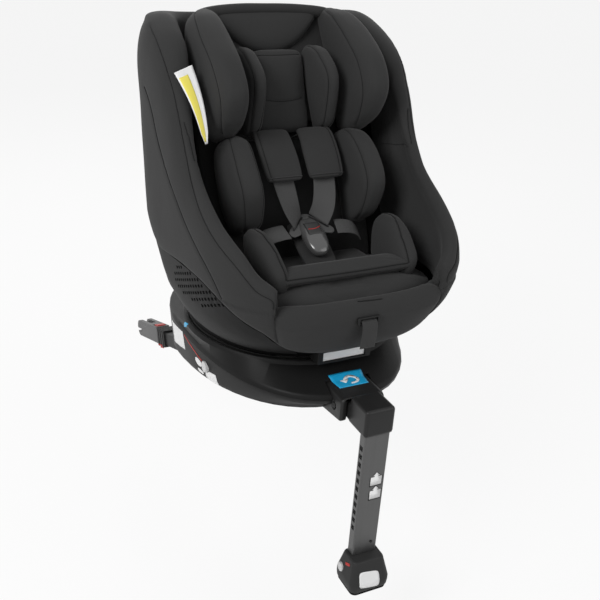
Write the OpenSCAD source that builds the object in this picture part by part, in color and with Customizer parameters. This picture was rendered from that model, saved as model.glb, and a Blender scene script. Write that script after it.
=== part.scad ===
// Convertible child car seat: a padded bucket that turns and reclines on an anchored base with a
// telescopic support leg. +Z is parallel to the turntable axis, the seat faces -Y, and the origin is on
// the sloping underside of the base. Millimetres.

/* [Seat] */
// Width of the seat across the hips
seat_w = 446; // [440:2:450]
// Reach of the seat front ahead of the origin
seat_front = 238; // [236:1:242]
// Reach of the seat back behind the origin
seat_rear = 304; // [298:2:310]
// Lean of the backrest from the vertical
back_lean = 30; // [29:0.5:31]
// Height of the top of the backrest padding
back_top_z = 594; // [588:2:598]
// Distance of that top behind the origin
back_top_y = 207; // [204:1:210]
// Thickness of the padded outer cover
cover_t = 8.7; // [8:0.1:8.7]
// Thickness of the plastic shell
shell_t = 4; // [3:0.5:5]

/* [Base] */
// Width of the base at its shoulder
base_w = 372; // [368:2:376]
// Reach of the base ahead of the origin
base_front = 222; // [220:1:224]
// Reach of the base behind the origin
base_rear = 300; // [296:2:310]
// Distance of the turntable axis behind the origin
axis_y = 30; // [29:0.5:31]
// Slope of the underside, to match a vehicle seat
base_slope = 8; // [7:0.5:8.5]
// Height of the shoulder line of the base
shoulder_z = 58; // [57:0.5:59]
// Height of the round rim that the turntable sits in
ring_z = 97; // [96:0.5:97]
// Radius of the turntable disc
turn_r = 181; // [179:1:181]
// Thickness of the base walls
base_t = 4; // [3:0.5:5]

/* [Recline] */
// Height of the axis that the seat reclines about
recline_z = 430; // [428:1:432]
// Radius of the seat's recline runners
runner_r = 299.5; // [298:0.5:299.5]

/* [Support leg] */
// Width of the arm at the top of the leg
arm_w = 52; // [50:1:52]
// Width of the outer leg tube
leg_w = 44; // [42:1:45]
// Depth of the outer leg tube
leg_d = 18; // [17:0.5:19]
// Height of the lower end of the outer tube
leg_low_z = -198; // [-200:1:-190]
// Height of the foot sole
foot_z = -258; // [-260:1:-256]
// Number of height slots in the leg
leg_slots = 11; // [8:1:12]

/* [Anchor arms] */
// Distance between the two lower anchor connectors
anchor_pitch = 280; // [278:1:282]
// Droop of the anchor arms below the horizontal
anchor_droop = 20; // [18:1:21]
// Length from arm pivot to connector tip
anchor_len = 430; // [420:2:440]

/* [Headrest] */
// Half width of the headrest at its wings
head_half = 125; // [122:1:125]

/* [Hidden] */
$fn = 48;
eps = 0.01;
slope = tan(base_slope);
half_w = seat_w / 2;
// turntable
disc_top = ring_z + 1;
disc_low = disc_top - 15;
hub_r = 45;
hub_low = 50;
fit = 0.05;
// leg hinge and arm
hinge_y = -222;
hinge_z = 52;
hinge_pin_r = 5;
leg_y = -289;
arm_tip_y = leg_y - leg_d / 2 - 3;
nose_half = 39;
// anchor arms
anchor_x = anchor_pitch / 2;
pivot_y = 70;
pivot_z = 8;
pivot_pin_r = 5;
// side buttons
side_btn_y = -12;
side_btn_z = 33;
// harness
strap_w = 38;
strap_t = 1.6;
pull_w = 26;
// buckle
buckle_at = [0, -42, 262];
buckle_tilt = 27;

// Shape helpers

function spow(v, p) = (v < 0 ? -1 : 1) * pow(abs(v), p);

// Smooth curve through the rows of P, at t from 0 to len(P) - 1
function curve(P, t) =
    let (n = len(P) - 1, i = min(floor(t), n - 1), f = t - i)
    let (a = P[max(i - 1, 0)], b = P[i], c = P[i + 1], d = P[min(i + 2, n)])
    b + 0.5 * f * (c - a + f * (2 * a - 5 * b + 4 * c - d + f * (3 * (b - c) + d - a)));

function curve_points(P, steps) = [for (k = [0 : steps]) curve(P, (len(P) - 1) * k / steps)];

// Closed solid over a list of rings; loop joins the last ring to the first
module skin(R, loop = false) {
    n = len(R[0]);
    m = len(R);
    pts = [for (r = R) each r];
    last = loop ? m - 1 : m - 2;
    side = [for (j = [0 : last]) for (i = [0 : n - 1]) let (k = (j + 1) % m, q = (i + 1) % n)
        each [[j * n + i, j * n + q, k * n + q], [j * n + i, k * n + q, k * n + i]]];
    caps = loop ? [] : [[for (i = [n - 1 : -1 : 0]) i], [for (i = [0 : n - 1]) (m - 1) * n + i]];
    polyhedron(points = pts, faces = [for (f = concat(side, caps)) [for (i = [len(f) - 1 : -1 : 0]) f[i]]],
        convexity = 8);
}

// Closed solid between two point grids of the same size
module slab(A, B) {
    m = len(A);
    n = len(A[0]);
    o = m * n;
    pts = concat([for (r = A) each r], [for (r = B) each r]);
    top = [for (j = [0 : m - 2]) for (i = [0 : n - 2]) let (p = j * n + i)
        each [[p, p + 1, p + n + 1], [p, p + n + 1, p + n]]];
    low = [for (f = top) [f[2] + o, f[1] + o, f[0] + o]];
    ends = [for (j = [0 : m - 2]) let (p = j * n, q = p + n - 1) each [
        [p, p + n, p + n + o], [p, p + n + o, p + o],
        [q + n, q, q + o], [q + n, q + o, q + n + o]]];
    rims = [for (i = [0 : n - 2]) let (p = i, q = (m - 1) * n + i) each [
        [p + 1, p, p + o], [p + 1, p + o, p + 1 + o],
        [q, q + 1, q + 1 + o], [q, q + 1 + o, q + o]]];
    polyhedron(points = pts, faces = concat(top, low, ends, rims), convexity = 8);
}

// Padded form: rows of [z, x, y, half_x, half_y] along z, each ring a rounded square with its own lean
module stack(rows, steps = 12, sides = 20, round = 2.6, lean = 0) {
    skin([for (r = curve_points(rows, steps)) [for (i = [0 : sides - 1])
        let (a = 360 * i / sides, dy = r[4] * spow(sin(a), 2 / round))
        [r[1] + r[3] * spow(cos(a), 2 / round), r[2] + dy, r[0] + lean * dy]]]);
}

module mirrored() {
    children();
    mirror([1, 0, 0]) children();
}

module rounded_box(size, r) {
    translate([0, 0, -size[2] / 2]) linear_extrude(size[2])
        offset(r) square([size[0] - 2 * r, size[1] - 2 * r], center = true);
}

// Seat form: horizontal outlines that swell from the turntable ring to the hips

// Height of the padded rim above a place y along the side
function rim_z(y) = lookup(y, [[-seat_front, 246], [-213, 264], [-177, 297], [-107, 328], [-42, 361],
    [4, 407], [47, 477], [87, 529], [135, 560], [182, 574], [225, 568], [seat_rear, 536]]);

// Outline values at height z: half width, front, back, middle and squareness
function plan_w(z) = lookup(z, [[101, 182], [125, 197], [150, 210], [165, 214], [215, half_w - 3],
    [255, half_w], [420, half_w + 1], [520, half_w + 5], [575, half_w + 2]]);
function plan_front(z) = lookup(z, [[101, axis_y - 182], [125, -186], [150, -214], [165, -222],
    [215, 2 - seat_front], [255, -seat_front]]);
function plan_rear(z) = lookup(z, [[101, axis_y + 182], [165, 204], [215, 222], [255, 246], [330, 266],
    [420, 286], [520, seat_rear - 4], [575, seat_rear]]);
function plan_mid(z) = lookup(z, [[101, axis_y], [215, 60]]);
function plan_square(z) = lookup(z, [[101, 2], [125, 2.4], [150, 2.9], [215, 3.9], [255, 4.5]]);

// The upper rim leans in towards its edge
function lean_in(y, z) = z < 230 ? 0 : -13 * exp(-max(rim_z(y) - z, 0) / 36);

function plan_point(a, z, off) =
    let (p = 2 / plan_square(z), m = plan_mid(z), s = spow(sin(a), p), c = spow(cos(a), p))
    let (y = m + s * (s > 0 ? plan_rear(z) - m + off : m - plan_front(z) + off))
    [c * (plan_w(z) + off + lean_in(y, z)), y, z];

// Half width of the seat at y and z, for pieces that meet the shell wall
function wall_x(y, z, off) =
    let (n = plan_square(z), m = plan_mid(z), d = y > m ? plan_rear(z) - m + off : m - plan_front(z) + off)
    (plan_w(z) + off + lean_in(y, z)) * pow(max(1 - pow(abs(y - m) / d, n), 0), 1 / n);

// Lower edge of the shell: level ahead, and rising behind so that it clears the rails on recline
function edge_z(a) = let (y = 182 * sin(a), r = 294 + 34 * max(abs(cos(a)) - 0.68, 0) / 0.32)
    y < 0 ? 101.5 : recline_z - sqrt(r * r - y * y);

// Lower edge of the padded cover along the side
function hem_z(y) = lookup(y, [[-237, 130], [-226, 156], [-213, 190], [-185, 212], [-156, 227], [-120, 236],
    [-90, 239], [-40, 236], [0, 230], [60, 221], [110, 217], [150, 224], [200, 246], [247, 262]]);

// Shell sits this far inside the padded outline
function shell_in(z) = -lookup(z, [[101, 0], [112, 4], [126, cover_t + 3.3]]);

// Angle on the outline where the side reaches y at hip height
function side_angle(y) = let (z = 260, m = plan_mid(z), d = y > m ? plan_rear(z) - m : m - plan_front(z))
    (y > m ? 1 : -1) * asin(min(pow(abs(y - m) / d, plan_square(z) / 2), 1));

// Backrest frame: z runs up the backrest and -y stands out of it towards the child
module on_back() {
    translate([0, back_top_y, back_top_z]) rotate([-back_lean, 0, 0]) children();
}

function back_point(p) = let (s = sin(back_lean), c = cos(back_lean))
    [p[0], back_top_y + p[1] * c + p[2] * s, back_top_z - p[1] * s + p[2] * c];

// Base

base_mid = 100;

// Base outline: a long rounded nose ahead of base_mid and a shorter tail behind it
function base_ring(z0, tilt, half, front, back, sides = 52) =
    [for (i = [0 : sides - 1]) let (a = 360 * i / sides, s = spow(sin(a), 2 / 2.3))
        let (y = base_mid + s * (s > 0 ? back - base_mid : front + base_mid))
        [half * spow(cos(a), 2 / 2.3), y, z0 - tilt * slope * y]];

function round_ring(z, r, sides = 52) =
    [for (i = [0 : sides - 1]) let (a = 360 * i / sides) [r * cos(a), axis_y + r * sin(a), z]];

module nose_space(gap) {
    translate([-nose_half - gap, hinge_y - 24, 10]) cube([2 * (nose_half + gap), 66 + gap, 66 + gap]);
}

module base_tray() {
    h = base_w / 2;
    color("#3a3b3d") difference() {
        skin([
            base_ring(0, 1, h - 18, base_front - 34, base_rear - 26),
            base_ring(3, 1, h - 10, base_front - 27, base_rear - 18),
            base_ring(11, 1, h - 6, base_front - 23, base_rear - 14),
            base_ring(shoulder_z - 8, 0, h - 1, base_front - 3, base_rear - 1),
            base_ring(shoulder_z, 0, h, base_front, base_rear),
            base_ring(shoulder_z, 0, h - base_t, base_front - base_t, base_rear - base_t),
            base_ring(shoulder_z - 8, 0, h - 1 - base_t, base_front - 3 - base_t, base_rear - 1 - base_t),
            base_ring(base_t + 8, 1, h - 10 - base_t, base_front - 27 - base_t, base_rear - 18 - base_t),
            base_ring(base_t, 1, h - 20 - base_t, base_front - 36 - base_t, base_rear - 28 - base_t)]);
        nose_space(0.3);
        translate([-arm_w / 2 - 2, hinge_y - 40, -20]) cube([arm_w + 4, 82, 60]);
        mirrored() translate([anchor_x - 24, -8, -70]) cube([48, 320, 122]);
        mirrored() translate([h - 40, side_btn_y, side_btn_z]) rotate([0, 90, 0]) cylinder(r = 10.3, h = 60);
    }
}

module base_cover() {
    h = base_w / 2;
    z0 = shoulder_z + 0.3;
    color("#2c2d2f") difference() {
        skin([
            base_ring(z0, 0, h, base_front, base_rear),
            base_ring(z0 + 5, 0, h - 0.5, base_front - 1, base_rear - 1),
            base_ring(z0 + 9, 0, h - 2, base_front - 5, base_rear - 5),
            round_ring(ring_z - 7, turn_r + 10),
            round_ring(ring_z - 2, turn_r + 8.5),
            round_ring(ring_z, turn_r + 6),
            round_ring(ring_z, turn_r + 3),
            round_ring(ring_z - 1, turn_r + 2),
            round_ring(ring_z - 13, turn_r + 2),
            base_ring(z0 + 8, 0, h - 6, base_front - 10, base_rear - 10),
            base_ring(z0, 0, h - base_t, base_front - base_t, base_rear - base_t)], loop = true);
        nose_space(0.3);
    }
}

// Steel frame on the tray floor: hub pedestal, cross beam and the anchor pivot cheeks
module base_frame() {
    color("#8b8e91") difference() {
        union() {
            translate([0, axis_y, -20]) cylinder(r = 64, h = hub_low + 20 - 0.2);
            translate([-anchor_x - 21, pivot_y - 34, -20]) cube([2 * (anchor_x + 21), 13, 50]);
            mirrored() for (x = [-21, 17.5]) translate([anchor_x + x, pivot_y - 34, -20]) cube([3.5, 54, 48]);
            translate([-30, hinge_y + 42.4, -20]) cube([60, pivot_y - 32 - hinge_y - 42.4, 38]);
        }
        rotate([-base_slope, 0, 0]) translate([-300, -300, base_t - 100 + 0.05]) cube([600, 600, 100]);
        mirrored() translate([anchor_x - 30, pivot_y, pivot_z]) rotate([0, 90, 0])
            cylinder(r = pivot_pin_r, h = 60);
        translate([0, axis_y, 20]) cylinder(r = 38, h = 60);
        mirrored() translate([anchor_x - 17.5, pivot_y - 20.5, -60]) cube([35, 80, 160]);
    }
}

// Nose of the base: a deck over two cheeks that carry the leg hinge
module leg_bracket() {
    deck = 76;
    color("#303133") difference() {
        translate([0, hinge_y + 42, 0]) rotate([90, 0, 0]) linear_extrude(66) polygon([[-nose_half, 10],
            [nose_half, 10], [nose_half, deck - 9], [nose_half - 3, deck - 3], [nose_half - 9, deck],
            [9 - nose_half, deck], [3 - nose_half, deck - 3], [-nose_half, deck - 9]]);
        translate([-arm_w / 2 - 0.6, hinge_y - 30, 0]) cube([arm_w + 1.2, 64, hinge_z + 18.5]);
        translate([-60, hinge_y, hinge_z]) rotate([0, 90, 0]) cylinder(r = hinge_pin_r, h = 120);
        rotate([-base_slope, 0, 0]) translate([-300, -400, -100]) cube([600, 600, 100.4]);
    }
}

module pivot_bush() {
    color("#b9bbb6") difference() {
        translate([0, axis_y, hub_low - 0.1]) cylinder(r = 62, h = disc_low - hub_low - 0.3);
        translate([0, axis_y, hub_low - 5]) cylinder(r = hub_r + fit, h = 60);
    }
}

// Cross pins of the leg hinge and the two anchor arms
module hinge_pins() {
    color("#a7a9ab") union() {
        translate([-nose_half, hinge_y, hinge_z]) rotate([0, 90, 0])
            cylinder(r = hinge_pin_r, h = 2 * nose_half);
        mirrored() translate([anchor_x - 21, pivot_y, pivot_z]) rotate([0, 90, 0])
            cylinder(r = pivot_pin_r, h = 42);
    }
}

// Four screws with their heads on the tray floor beside the frame pedestal
module base_screws() {
    color("#9c9ea0") for (a = [45 : 90 : 315]) rotate([-base_slope, 0, 0])
        translate([72 * cos(a), axis_y + 72 * sin(a), base_t]) cylinder(r = 5, h = 2.4);
}

module side_button(s) {
    color("#c9cbcc") translate([s * (base_w / 2 - 28), side_btn_y, side_btn_z]) rotate([0, s * 90, 0])
        union() {
        translate([0, 0, 5]) cylinder(r = 9.8, h = 16);
        cylinder(r = 14, h = 5.01);
    }
}

module side_button_left() { side_button(-1); }
module side_button_right() { side_button(1); }

// Anchor arms, drawn along +Y from their pivot and then drooped

module anchor_place(s) {
    translate([s * anchor_x, pivot_y, pivot_z]) rotate([-anchor_droop, 0, 0]) children();
}

module anchor_sleeve(s) {
    color("#2b2c2e") anchor_place(s) difference() {
        translate([-17, -12, -15]) cube([34, 122, 30]);
        translate([-15.2, 14, -13.2]) cube([30.4, 120, 26.4]);
        translate([-30, 0, 0]) rotate([0, 90, 0]) cylinder(r = pivot_pin_r + fit, h = 60);
    }
}

module anchor_arm(s) {
    color("#1f2022") anchor_place(s) difference() {
        union() {
            translate([-14.6, 118, -12.6]) cube([29.2, 100, 25.2]);
            translate([-14.6, 78, -12.6]) cube([29.2, 42, 25.2]);
            translate([-18, 214, -17]) cube([36, 48, 34]);
            for (y = [222, 236, 250]) translate([-19, y, -18]) cube([38, 6, 36]);
        }
        translate([-12, 70, -10]) cube([24, 139, 20]);
    }
}

// Grey connector head with a throat for a 6 mm anchor bar
module anchor_connector(s) {
    r = 3.1;
    y1 = anchor_len;
    color("#8d8f91") anchor_place(s) difference() {
        union() {
            translate([-14, 276, -17]) cube([28, y1 - 296, 34]);
            translate([-14, y1 - 20, 0]) rotate([0, 90, 0]) cylinder(r = 17, h = 28);
            translate([-11, 262, -12]) cube([22, 15, 24]);
        }
        translate([-20, y1 - 28, -4]) rotate([0, 90, 0]) cylinder(r = r, h = 40);
        translate([-20, y1 - 28, -4 - r]) cube([40, 60, 2 * r]);
        translate([-6, y1 - 84, -12]) cube([12, 80, 40]);
        translate([-20, y1 - 62, 8]) rotate([0, 90, 0]) cylinder(r = 2.5, h = 40);
        translate([-10, 284, 13]) cube([20, 34, 8]);
        translate([-5.6, 290, -6]) cube([11.2, 60, 21]);
    }
}

// Spring hook that closes the throat, on its own cross pin
module anchor_hook(s) {
    y1 = anchor_len;
    color("#6d7073") anchor_place(s) difference() {
        union() {
            translate([-14, y1 - 62, 8]) rotate([0, 90, 0]) cylinder(r = 2.45, h = 28);
            translate([-5, y1 - 62, 8]) rotate([0, 90, 0]) cylinder(r = 5, h = 10);
            translate([-5, y1 - 62, 3]) cube([10, 50, 8]);
            translate([-5, y1 - 22, -9]) cube([10, 10, 14]);
        }
        translate([-20, y1 - 28, -4]) rotate([0, 90, 0]) cylinder(r = 3.4, h = 40);
    }
}

module anchor_release(s) {
    color("#b3232b") anchor_place(s) union() {
        translate([-9.4, 285, 13.6]) cube([18.8, 20, 5.4]);
        translate([-5, 291, -5.4]) cube([10, 14, 20]);
    }
}

module anchor_sleeve_left() { anchor_sleeve(-1); }
module anchor_sleeve_right() { anchor_sleeve(1); }
module anchor_arm_left() { anchor_arm(-1); }
module anchor_arm_right() { anchor_arm(1); }
module anchor_connector_left() { anchor_connector(-1); }
module anchor_connector_right() { anchor_connector(1); }
module anchor_hook_left() { anchor_hook(-1); }
module anchor_hook_right() { anchor_hook(1); }
module anchor_release_left() { anchor_release(-1); }
module anchor_release_right() { anchor_release(1); }

// Support leg

module leg_arm() {
    top = 84;
    low = 34;
    color("#2a2b2d") difference() {
        union() {
            translate([-arm_w / 2, 0, 0]) rotate([90, 0, 90]) linear_extrude(arm_w) polygon([
                [arm_tip_y, low], [arm_tip_y, top - 8], [arm_tip_y + 4, top - 3], [arm_tip_y + 10, top - 1],
                [hinge_y - 26, top - 2], [hinge_y - 25, hinge_z + 16], [hinge_y, hinge_z + 16],
                [hinge_y, hinge_z - 16], [hinge_y - 24, hinge_z - 16], [hinge_y - 30, low]]);
            translate([-arm_w / 2, hinge_y, hinge_z]) rotate([0, 90, 0]) cylinder(r = 16, h = arm_w);
        }
        translate([-50, hinge_y, hinge_z]) rotate([0, 90, 0]) cylinder(r = hinge_pin_r + fit, h = 100);
        translate([-leg_w / 2, leg_y - leg_d / 2, low - 1]) cube([leg_w, leg_d, 31]);
    }
}

module leg_outer_tube() {
    wall = 2;
    color("#6f7173") difference() {
        translate([0, leg_y, (leg_low_z + 64) / 2]) rounded_box([leg_w, leg_d, 64 - leg_low_z], 3);
        translate([0, leg_y, (leg_low_z + 60) / 2])
            rounded_box([leg_w - 2 * wall, leg_d - 2 * wall, 70 - leg_low_z], 2);
        for (k = [0 : leg_slots - 1]) translate([-leg_w / 2 - 1, leg_y - 4, -150 + 15.5 * k]) cube([4, 8, 9]);
        translate([9, leg_y - leg_d / 2, leg_low_z + 21]) rotate([90, 0, 0])
            cylinder(r = 2.2, h = 10, center = true);
    }
}

module leg_inner_tube() {
    color("#8a8c8e") difference() {
        translate([0, leg_y, -92]) rounded_box([leg_w - 4.8, leg_d - 4.8, 252], 1.8);
        translate([0, leg_y, -92]) rounded_box([leg_w - 8, leg_d - 8, 300], 1);
        for (k = [0 : leg_slots - 1]) translate([-leg_w / 2, leg_y - 3, -150 + 15.5 * k]) cube([6, 6, 7]);
    }
}

module foot_housing() {
    z1 = foot_z + 5;
    color("#38393b") difference() {
        hull() {
            translate([0, leg_y - 8, leg_low_z - 4]) rounded_box([leg_w + 12, leg_d + 22, 6], 8);
            translate([0, leg_y - 10, z1 + 14]) rounded_box([72, 62, 8], 12);
            translate([0, leg_y - 10, z1 + 1]) rounded_box([70, 60, 2], 12);
        }
        translate([-leg_w / 2 + 2.2, leg_y - leg_d / 2 + 2.2, -220]) cube([leg_w - 4.4, leg_d - 4.4, 80]);
        for (s = [-1, 1]) translate([s * 20.6, leg_y + 4, z1 + 25]) rotate([0, s * 90, 0])
            cylinder(r = 8.3, h = 30);
        translate([-28, leg_y - 34, z1 - 1]) cube([56, 48, 8]);
    }
}

module foot_button(s) {
    z1 = foot_z + 5;
    color("#d2d3d1") translate([s * 24.3, leg_y + 4, z1 + 25]) rotate([0, s * 90, 0]) cylinder(r = 8, h = 12);
}

module foot_button_left() { foot_button(-1); }
module foot_button_right() { foot_button(1); }

module foot_sole() {
    color("#232425") union() {
        translate([0, leg_y - 10, foot_z + 0.7]) rounded_box([66, 56, 1.4], 10);
        translate([-27.5, leg_y - 33.5, foot_z + 1]) cube([55, 47, 6.5]);
    }
}

// Turntable that carries the seat

module turntable() {
    color("#2f3032") translate([0, axis_y, 0]) difference() {
        union() {
            translate([0, 0, disc_low]) cylinder(r = turn_r, h = disc_top - disc_low);
            translate([0, 0, hub_low + 2]) cylinder(r = hub_r, h = disc_low - hub_low);
        }
        translate([0, 0, hub_low - 1]) cylinder(r = 36, h = disc_top - hub_low - 5);
        translate([0, 0, disc_low - 1]) rotate_extrude() translate([70, 0]) square([turn_r - 74, 12]);
    }
}

// Curved rails that the seat's runners slide in when it reclines
module cradle_rails() {
    color("#55575a") mirrored() translate([84, axis_y, 0]) rotate([90, 0, 90]) linear_extrude(22)
        difference() {
        translate([-130, disc_top]) square([220, 62]);
        translate([0, recline_z]) circle(r = runner_r + 0.9);
    }
}

// Seat shell and its structure

module seat_shell() {
    n = 60;
    levels = [0, 0.055, 0.12, 0.28, 0.36, 0.45, 0.62, 0.8, 1];
    function top(y) = min(rim_z(y) - 28, lookup(y, [[-198, 213], [-150, 310], [-60, 600]]));
    function wall(t, off) = [for (i = [0 : n - 1]) let (a = 360 * i / n, y = plan_point(a, 260, 0)[1])
        let (z0 = edge_z(a), z = z0 + (top(y) - z0) * t) plan_point(a, z, shell_in(z) - off)];
    color("#323335") difference() {
        skin(concat([for (t = levels) wall(t, 0)],
            [for (k = [len(levels) - 1 : -1 : 0]) wall(levels[k], shell_t)]), loop = true);
        translate([-48.2, -210, 90]) cube([96.4, 80, 33.7]);
    }
}

pan_z = 182;
function pan_at(y) = pan_z + (y + 190) * -0.07;

// Inner pan and back panel under the padding
module seat_bucket() {
    t = 4;
    back = [for (v = [46, 46 + t]) for (u = [-470, -112]) back_point([0, v, u])];
    color("#3b3c3e") union() {
        translate([-90, 0, 0]) rotate([90, 0, 90]) linear_extrude(180) polygon([
            [-196, pan_at(-196)], [-196, pan_at(-196) - t], [-140, pan_at(-140) - t], [-140, pan_at(-140)]]);
        translate([-158, 0, 0]) rotate([90, 0, 90]) linear_extrude(316) polygon([
            [-146, pan_at(-146)], [-146, pan_at(-146) - t], [back[2][1], pan_at(back[2][1]) - t],
            [back[2][1] + 3, back[2][2] + 4], [back[3][1], back[3][2]], [back[1][1], back[1][2]],
            [back[0][1], back[0][2]], [back[0][1] - 8, pan_at(back[0][1] - 8)]]);
        for (y = [-120, -10]) mirrored() translate([120, y, pan_at(y) - t - 8])
            cube([wall_x(y - 8, pan_at(y) - t - 10, -cover_t - 5.2 - shell_t) - 120, 16, 8.01]);
        on_back() mirrored() for (u = [-350, -120]) translate([48, 49.9, u]) cube([24, 22, 7.95]);
    }
}

module recline_runners() {
    color("#6a6c6f") mirrored() translate([88, 0, 0]) rotate([90, 0, 90]) linear_extrude(14) intersection() {
        translate([axis_y, recline_z]) circle(r = runner_r);
        polygon([[-100, pan_at(-100) - 4.05], [-100, 90], [100, 90], [100, pan_at(100) - 4.05]]);
    }
}

// Vented plastic panel on the lower side of the seat
module side_panel(s) {
    a0 = side_angle(-229);
    a1 = side_angle(190);
    cols = 20;
    function col(i, off) = let (a = a0 + (a1 - a0) * i / cols, y = plan_point(a, 260, 0)[1])
        let (z0 = max(edge_z(a) + 20, 128), z1 = max(hem_z(y) - 2.4, z0 + 4))
        [for (k = [0 : 4]) let (z = z0 + (z1 - z0) * k / 4, p = plan_point(a, z, off))
            [s * p[0], p[1], p[2]]];
    A = [for (i = [0 : cols]) col(i, -2.5)];
    B = [for (i = [0 : cols]) col(i, -cover_t)];
    color("#56585b") if (s > 0) slab(A, B); else slab(B, A);
}

module side_panel_left() { side_panel(-1); }
module side_panel_right() { side_panel(1); }

// Pull handle under the seat front, in its housing
module handle_housing() {
    color("#1c1d1f") difference() {
        translate([-48, -176, 100.5]) cube([96, 30, 23]);
        translate([-38.4, -190, 103.6]) cube([76.8, 36, 16.8]);
    }
}

module recline_handle() {
    color("#cfd2d3") union() {
        translate([-38, -173, 104]) cube([76, 8, 16]);
        translate([-34, -170, 107]) cube([68, 10, 10]);
    }
}

// Padded covers: a hook-shaped layer over the shell edge

function cover_column(a, s, hem) =
    let (y = plan_point(a, 260, 0)[1], zt = rim_z(y), z0 = hem)
    let (path = concat([for (k = [0 : 5]) [0, z0 + (zt - 34 - z0) * k / 5]],
        [[-1, zt - 14], [-5, zt + 2], [-13, zt + 9], [-21, zt + 5], [-26, zt - 6], [-27, zt - 24]]))
    [for (q = path) let (p = plan_point(a, min(q[1], zt), q[0])) [s * p[0], p[1], q[1]]];

function lining_column(a, s, hem) =
    let (y = plan_point(a, 260, 0)[1], zt = rim_z(y), z0 = hem, o = -cover_t, i = -cover_t - shell_t - 5)
    let (path = concat([for (k = [0 : 5]) [o, z0 + (zt - 34 - z0) * k / 5]],
        [[o, zt - 20], [o, zt - 11.7], [(o * 2 + i) / 3, zt - 11.2], [(o + i * 2) / 3, zt - 11.2],
        [i, zt - 11.7], [i, zt - 24]]))
    [for (q = path) let (p = plan_point(a, min(q[1], zt), q[0])) [s * p[0], p[1], q[1]]];

module wing_cover(s) {
    a0 = side_angle(-222);
    corner = 74;
    cols = 22;
    rear_seam = [82, 88, 89.9999];
    angles = concat([for (i = [0 : cols]) a0 + (corner - a0) * i / cols], rear_seam);
    A = [for (a = angles) cover_column(a, s, hem_z(plan_point(a, 260, 0)[1]))];
    B = [for (a = angles) lining_column(a, s, hem_z(plan_point(a, 260, 0)[1]))];
    color("#343536") if (s > 0) slab(A, B); else slab(B, A);
}

module wing_cover_left() { wing_cover(-1); }
module wing_cover_right() { wing_cover(1); }

// Front apron between the wings, rolled over the shell's front edge
module front_cover() {
    a0 = side_angle(-222.6);
    cols = 12;
    angles = [for (i = [0 : cols]) a0 + (-180 - 2 * a0) * i / cols];
    function low(a) = hem_z(plan_point(a, 260, 0)[1]);
    function side(a, off) = [for (k = [0 : 3]) [off, low(a) + (205 - low(a)) * k / 3]];
    roll = [[-3, 220], [-10, 229], [-20, 231], [-28, 226], [-30, 214]];
    lining = [[-cover_t, 212], [-9.5, 219.8], [-14, 222.4], [-19, 222], [-22, 214]];
    function place(a, q) = let (p = plan_point(a, min(q[1], 205), q[0])) [p[0], p[1], q[1]];
    A = [for (a = angles) [for (q = concat(side(a, 0), roll)) place(a, q)]];
    B = [for (a = angles) [for (q = concat(side(a, -cover_t), lining)) place(a, q)]];
    color("#333435") slab(B, A);
}

// Inner padding of the wings
module wing_pad(s) {
    a0 = side_angle(-180);
    a1 = side_angle(120);
    cols = 16;
    function col(i, off) = let (a = a0 + (a1 - a0) * i / cols, y = plan_point(a, 260, 0)[1])
        let (z0 = 216, z1 = rim_z(y) - 40, e = 1 - pow(abs(2 * i / cols - 1), 4))
        [for (k = [0 : 6]) let (t = k / 6, z = z0 + (z1 - z0) * t)
            let (crown = pow(sin(180 * (0.1 + 0.8 * t)), 0.5), bulge = off * (0.35 + 0.65 * e * crown))
            let (p = plan_point(a, z, -cover_t - shell_t - 5.6 - bulge))
            [s * p[0], p[1], p[2]]];
    A = [for (i = [0 : cols]) col(i, 0)];
    B = [for (i = [0 : cols]) col(i, 24)];
    color("#303132") if (s > 0) slab(A, B); else slab(B, A);
}

module wing_pad_left() { wing_pad(-1); }
module wing_pad_right() { wing_pad(1); }

// Height of the cushion above the pan along its length
function cushion_h(y) = lookup(y, [[-203, 1], [-202, 22], [-199, 36], [-195, 45], [-188, 52], [-178, 55],
    [-165, 53], [-142, 47], [-120, 41], [-90, 36], [-60, 32.5], [-20, 29.5], [0, 28]]);

// Seat cushion with a rolled front edge and a crown
module seat_cushion() {
    ys = [-203, -202, -199, -195, -188, -178, -165, -142, -120, -90, -60, -20, -1];
    function half(y) = min(186, wall_x(y, 176, -cover_t - shell_t - 5.6));
    A = [for (y = ys) [for (k = [-6 : 6])
        [half(y) * k / 6, y, pan_at(y) + 2.3 + cushion_h(y) * (1 - 0.45 * pow(abs(k) / 6, 6))]]];
    B = [for (y = ys) [for (k = [-6 : 6]) [half(y) * k / 6, y, pan_at(y) + 0.3]]];
    color("#303132") slab(B, A);
}

// Backrest padding, crowned and drawn in at its sides
module back_cushion() {
    color("#2f3031") on_back() stack([
        [-452, 0, 33, 120, 6], [-444, 0, 33, 142, 11.5], [-300, 0, 33, 148, 12.5], [-170, 0, 33, 144, 12.5],
        [-128, 0, 33, 138, 11], [-120, 0, 33, 116, 6]], 10, 20, 5);
}

module headrest_rails() {
    color("#b0b2b4") on_back() mirrored() translate([60, 62, -342]) cylinder(r = 5, h = 222);
}

// Infant insert

module insert_seat() {
    rows = [[-175, 0, 8], [-171, 13, 7], [-158, 20, 5], [-138, 5, 2], [-120, 0, 0], [-90, 0, 0], [-60, 0, 0],
        [-20, 0, 0], [1, 0, 0]];
    half = 112;
    xs = [for (k = [-6 : 6]) half * k / 6];
    A = [for (r = rows) [for (x = xs) [x, r[0], pan_at(r[0]) + 3 + cushion_h(r[0]) + 10 + r[1]]]];
    B = [for (r = rows) [for (x = xs) [x, r[0], pan_at(r[0]) + 2.7 + cushion_h(r[0]) + r[2]]]];
    color("#353637") union() {
        slab(B, A);
        mirrored() stack([[226, 112, -106, 14, 46], [234, 113, -106, 20, 57], [262, 117, -102, 21, 57],
            [288, 120, -96, 18, 40], [300, 121, -92, 12, 22]], 8, 14, 2.6, -0.2);
    }
}

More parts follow.
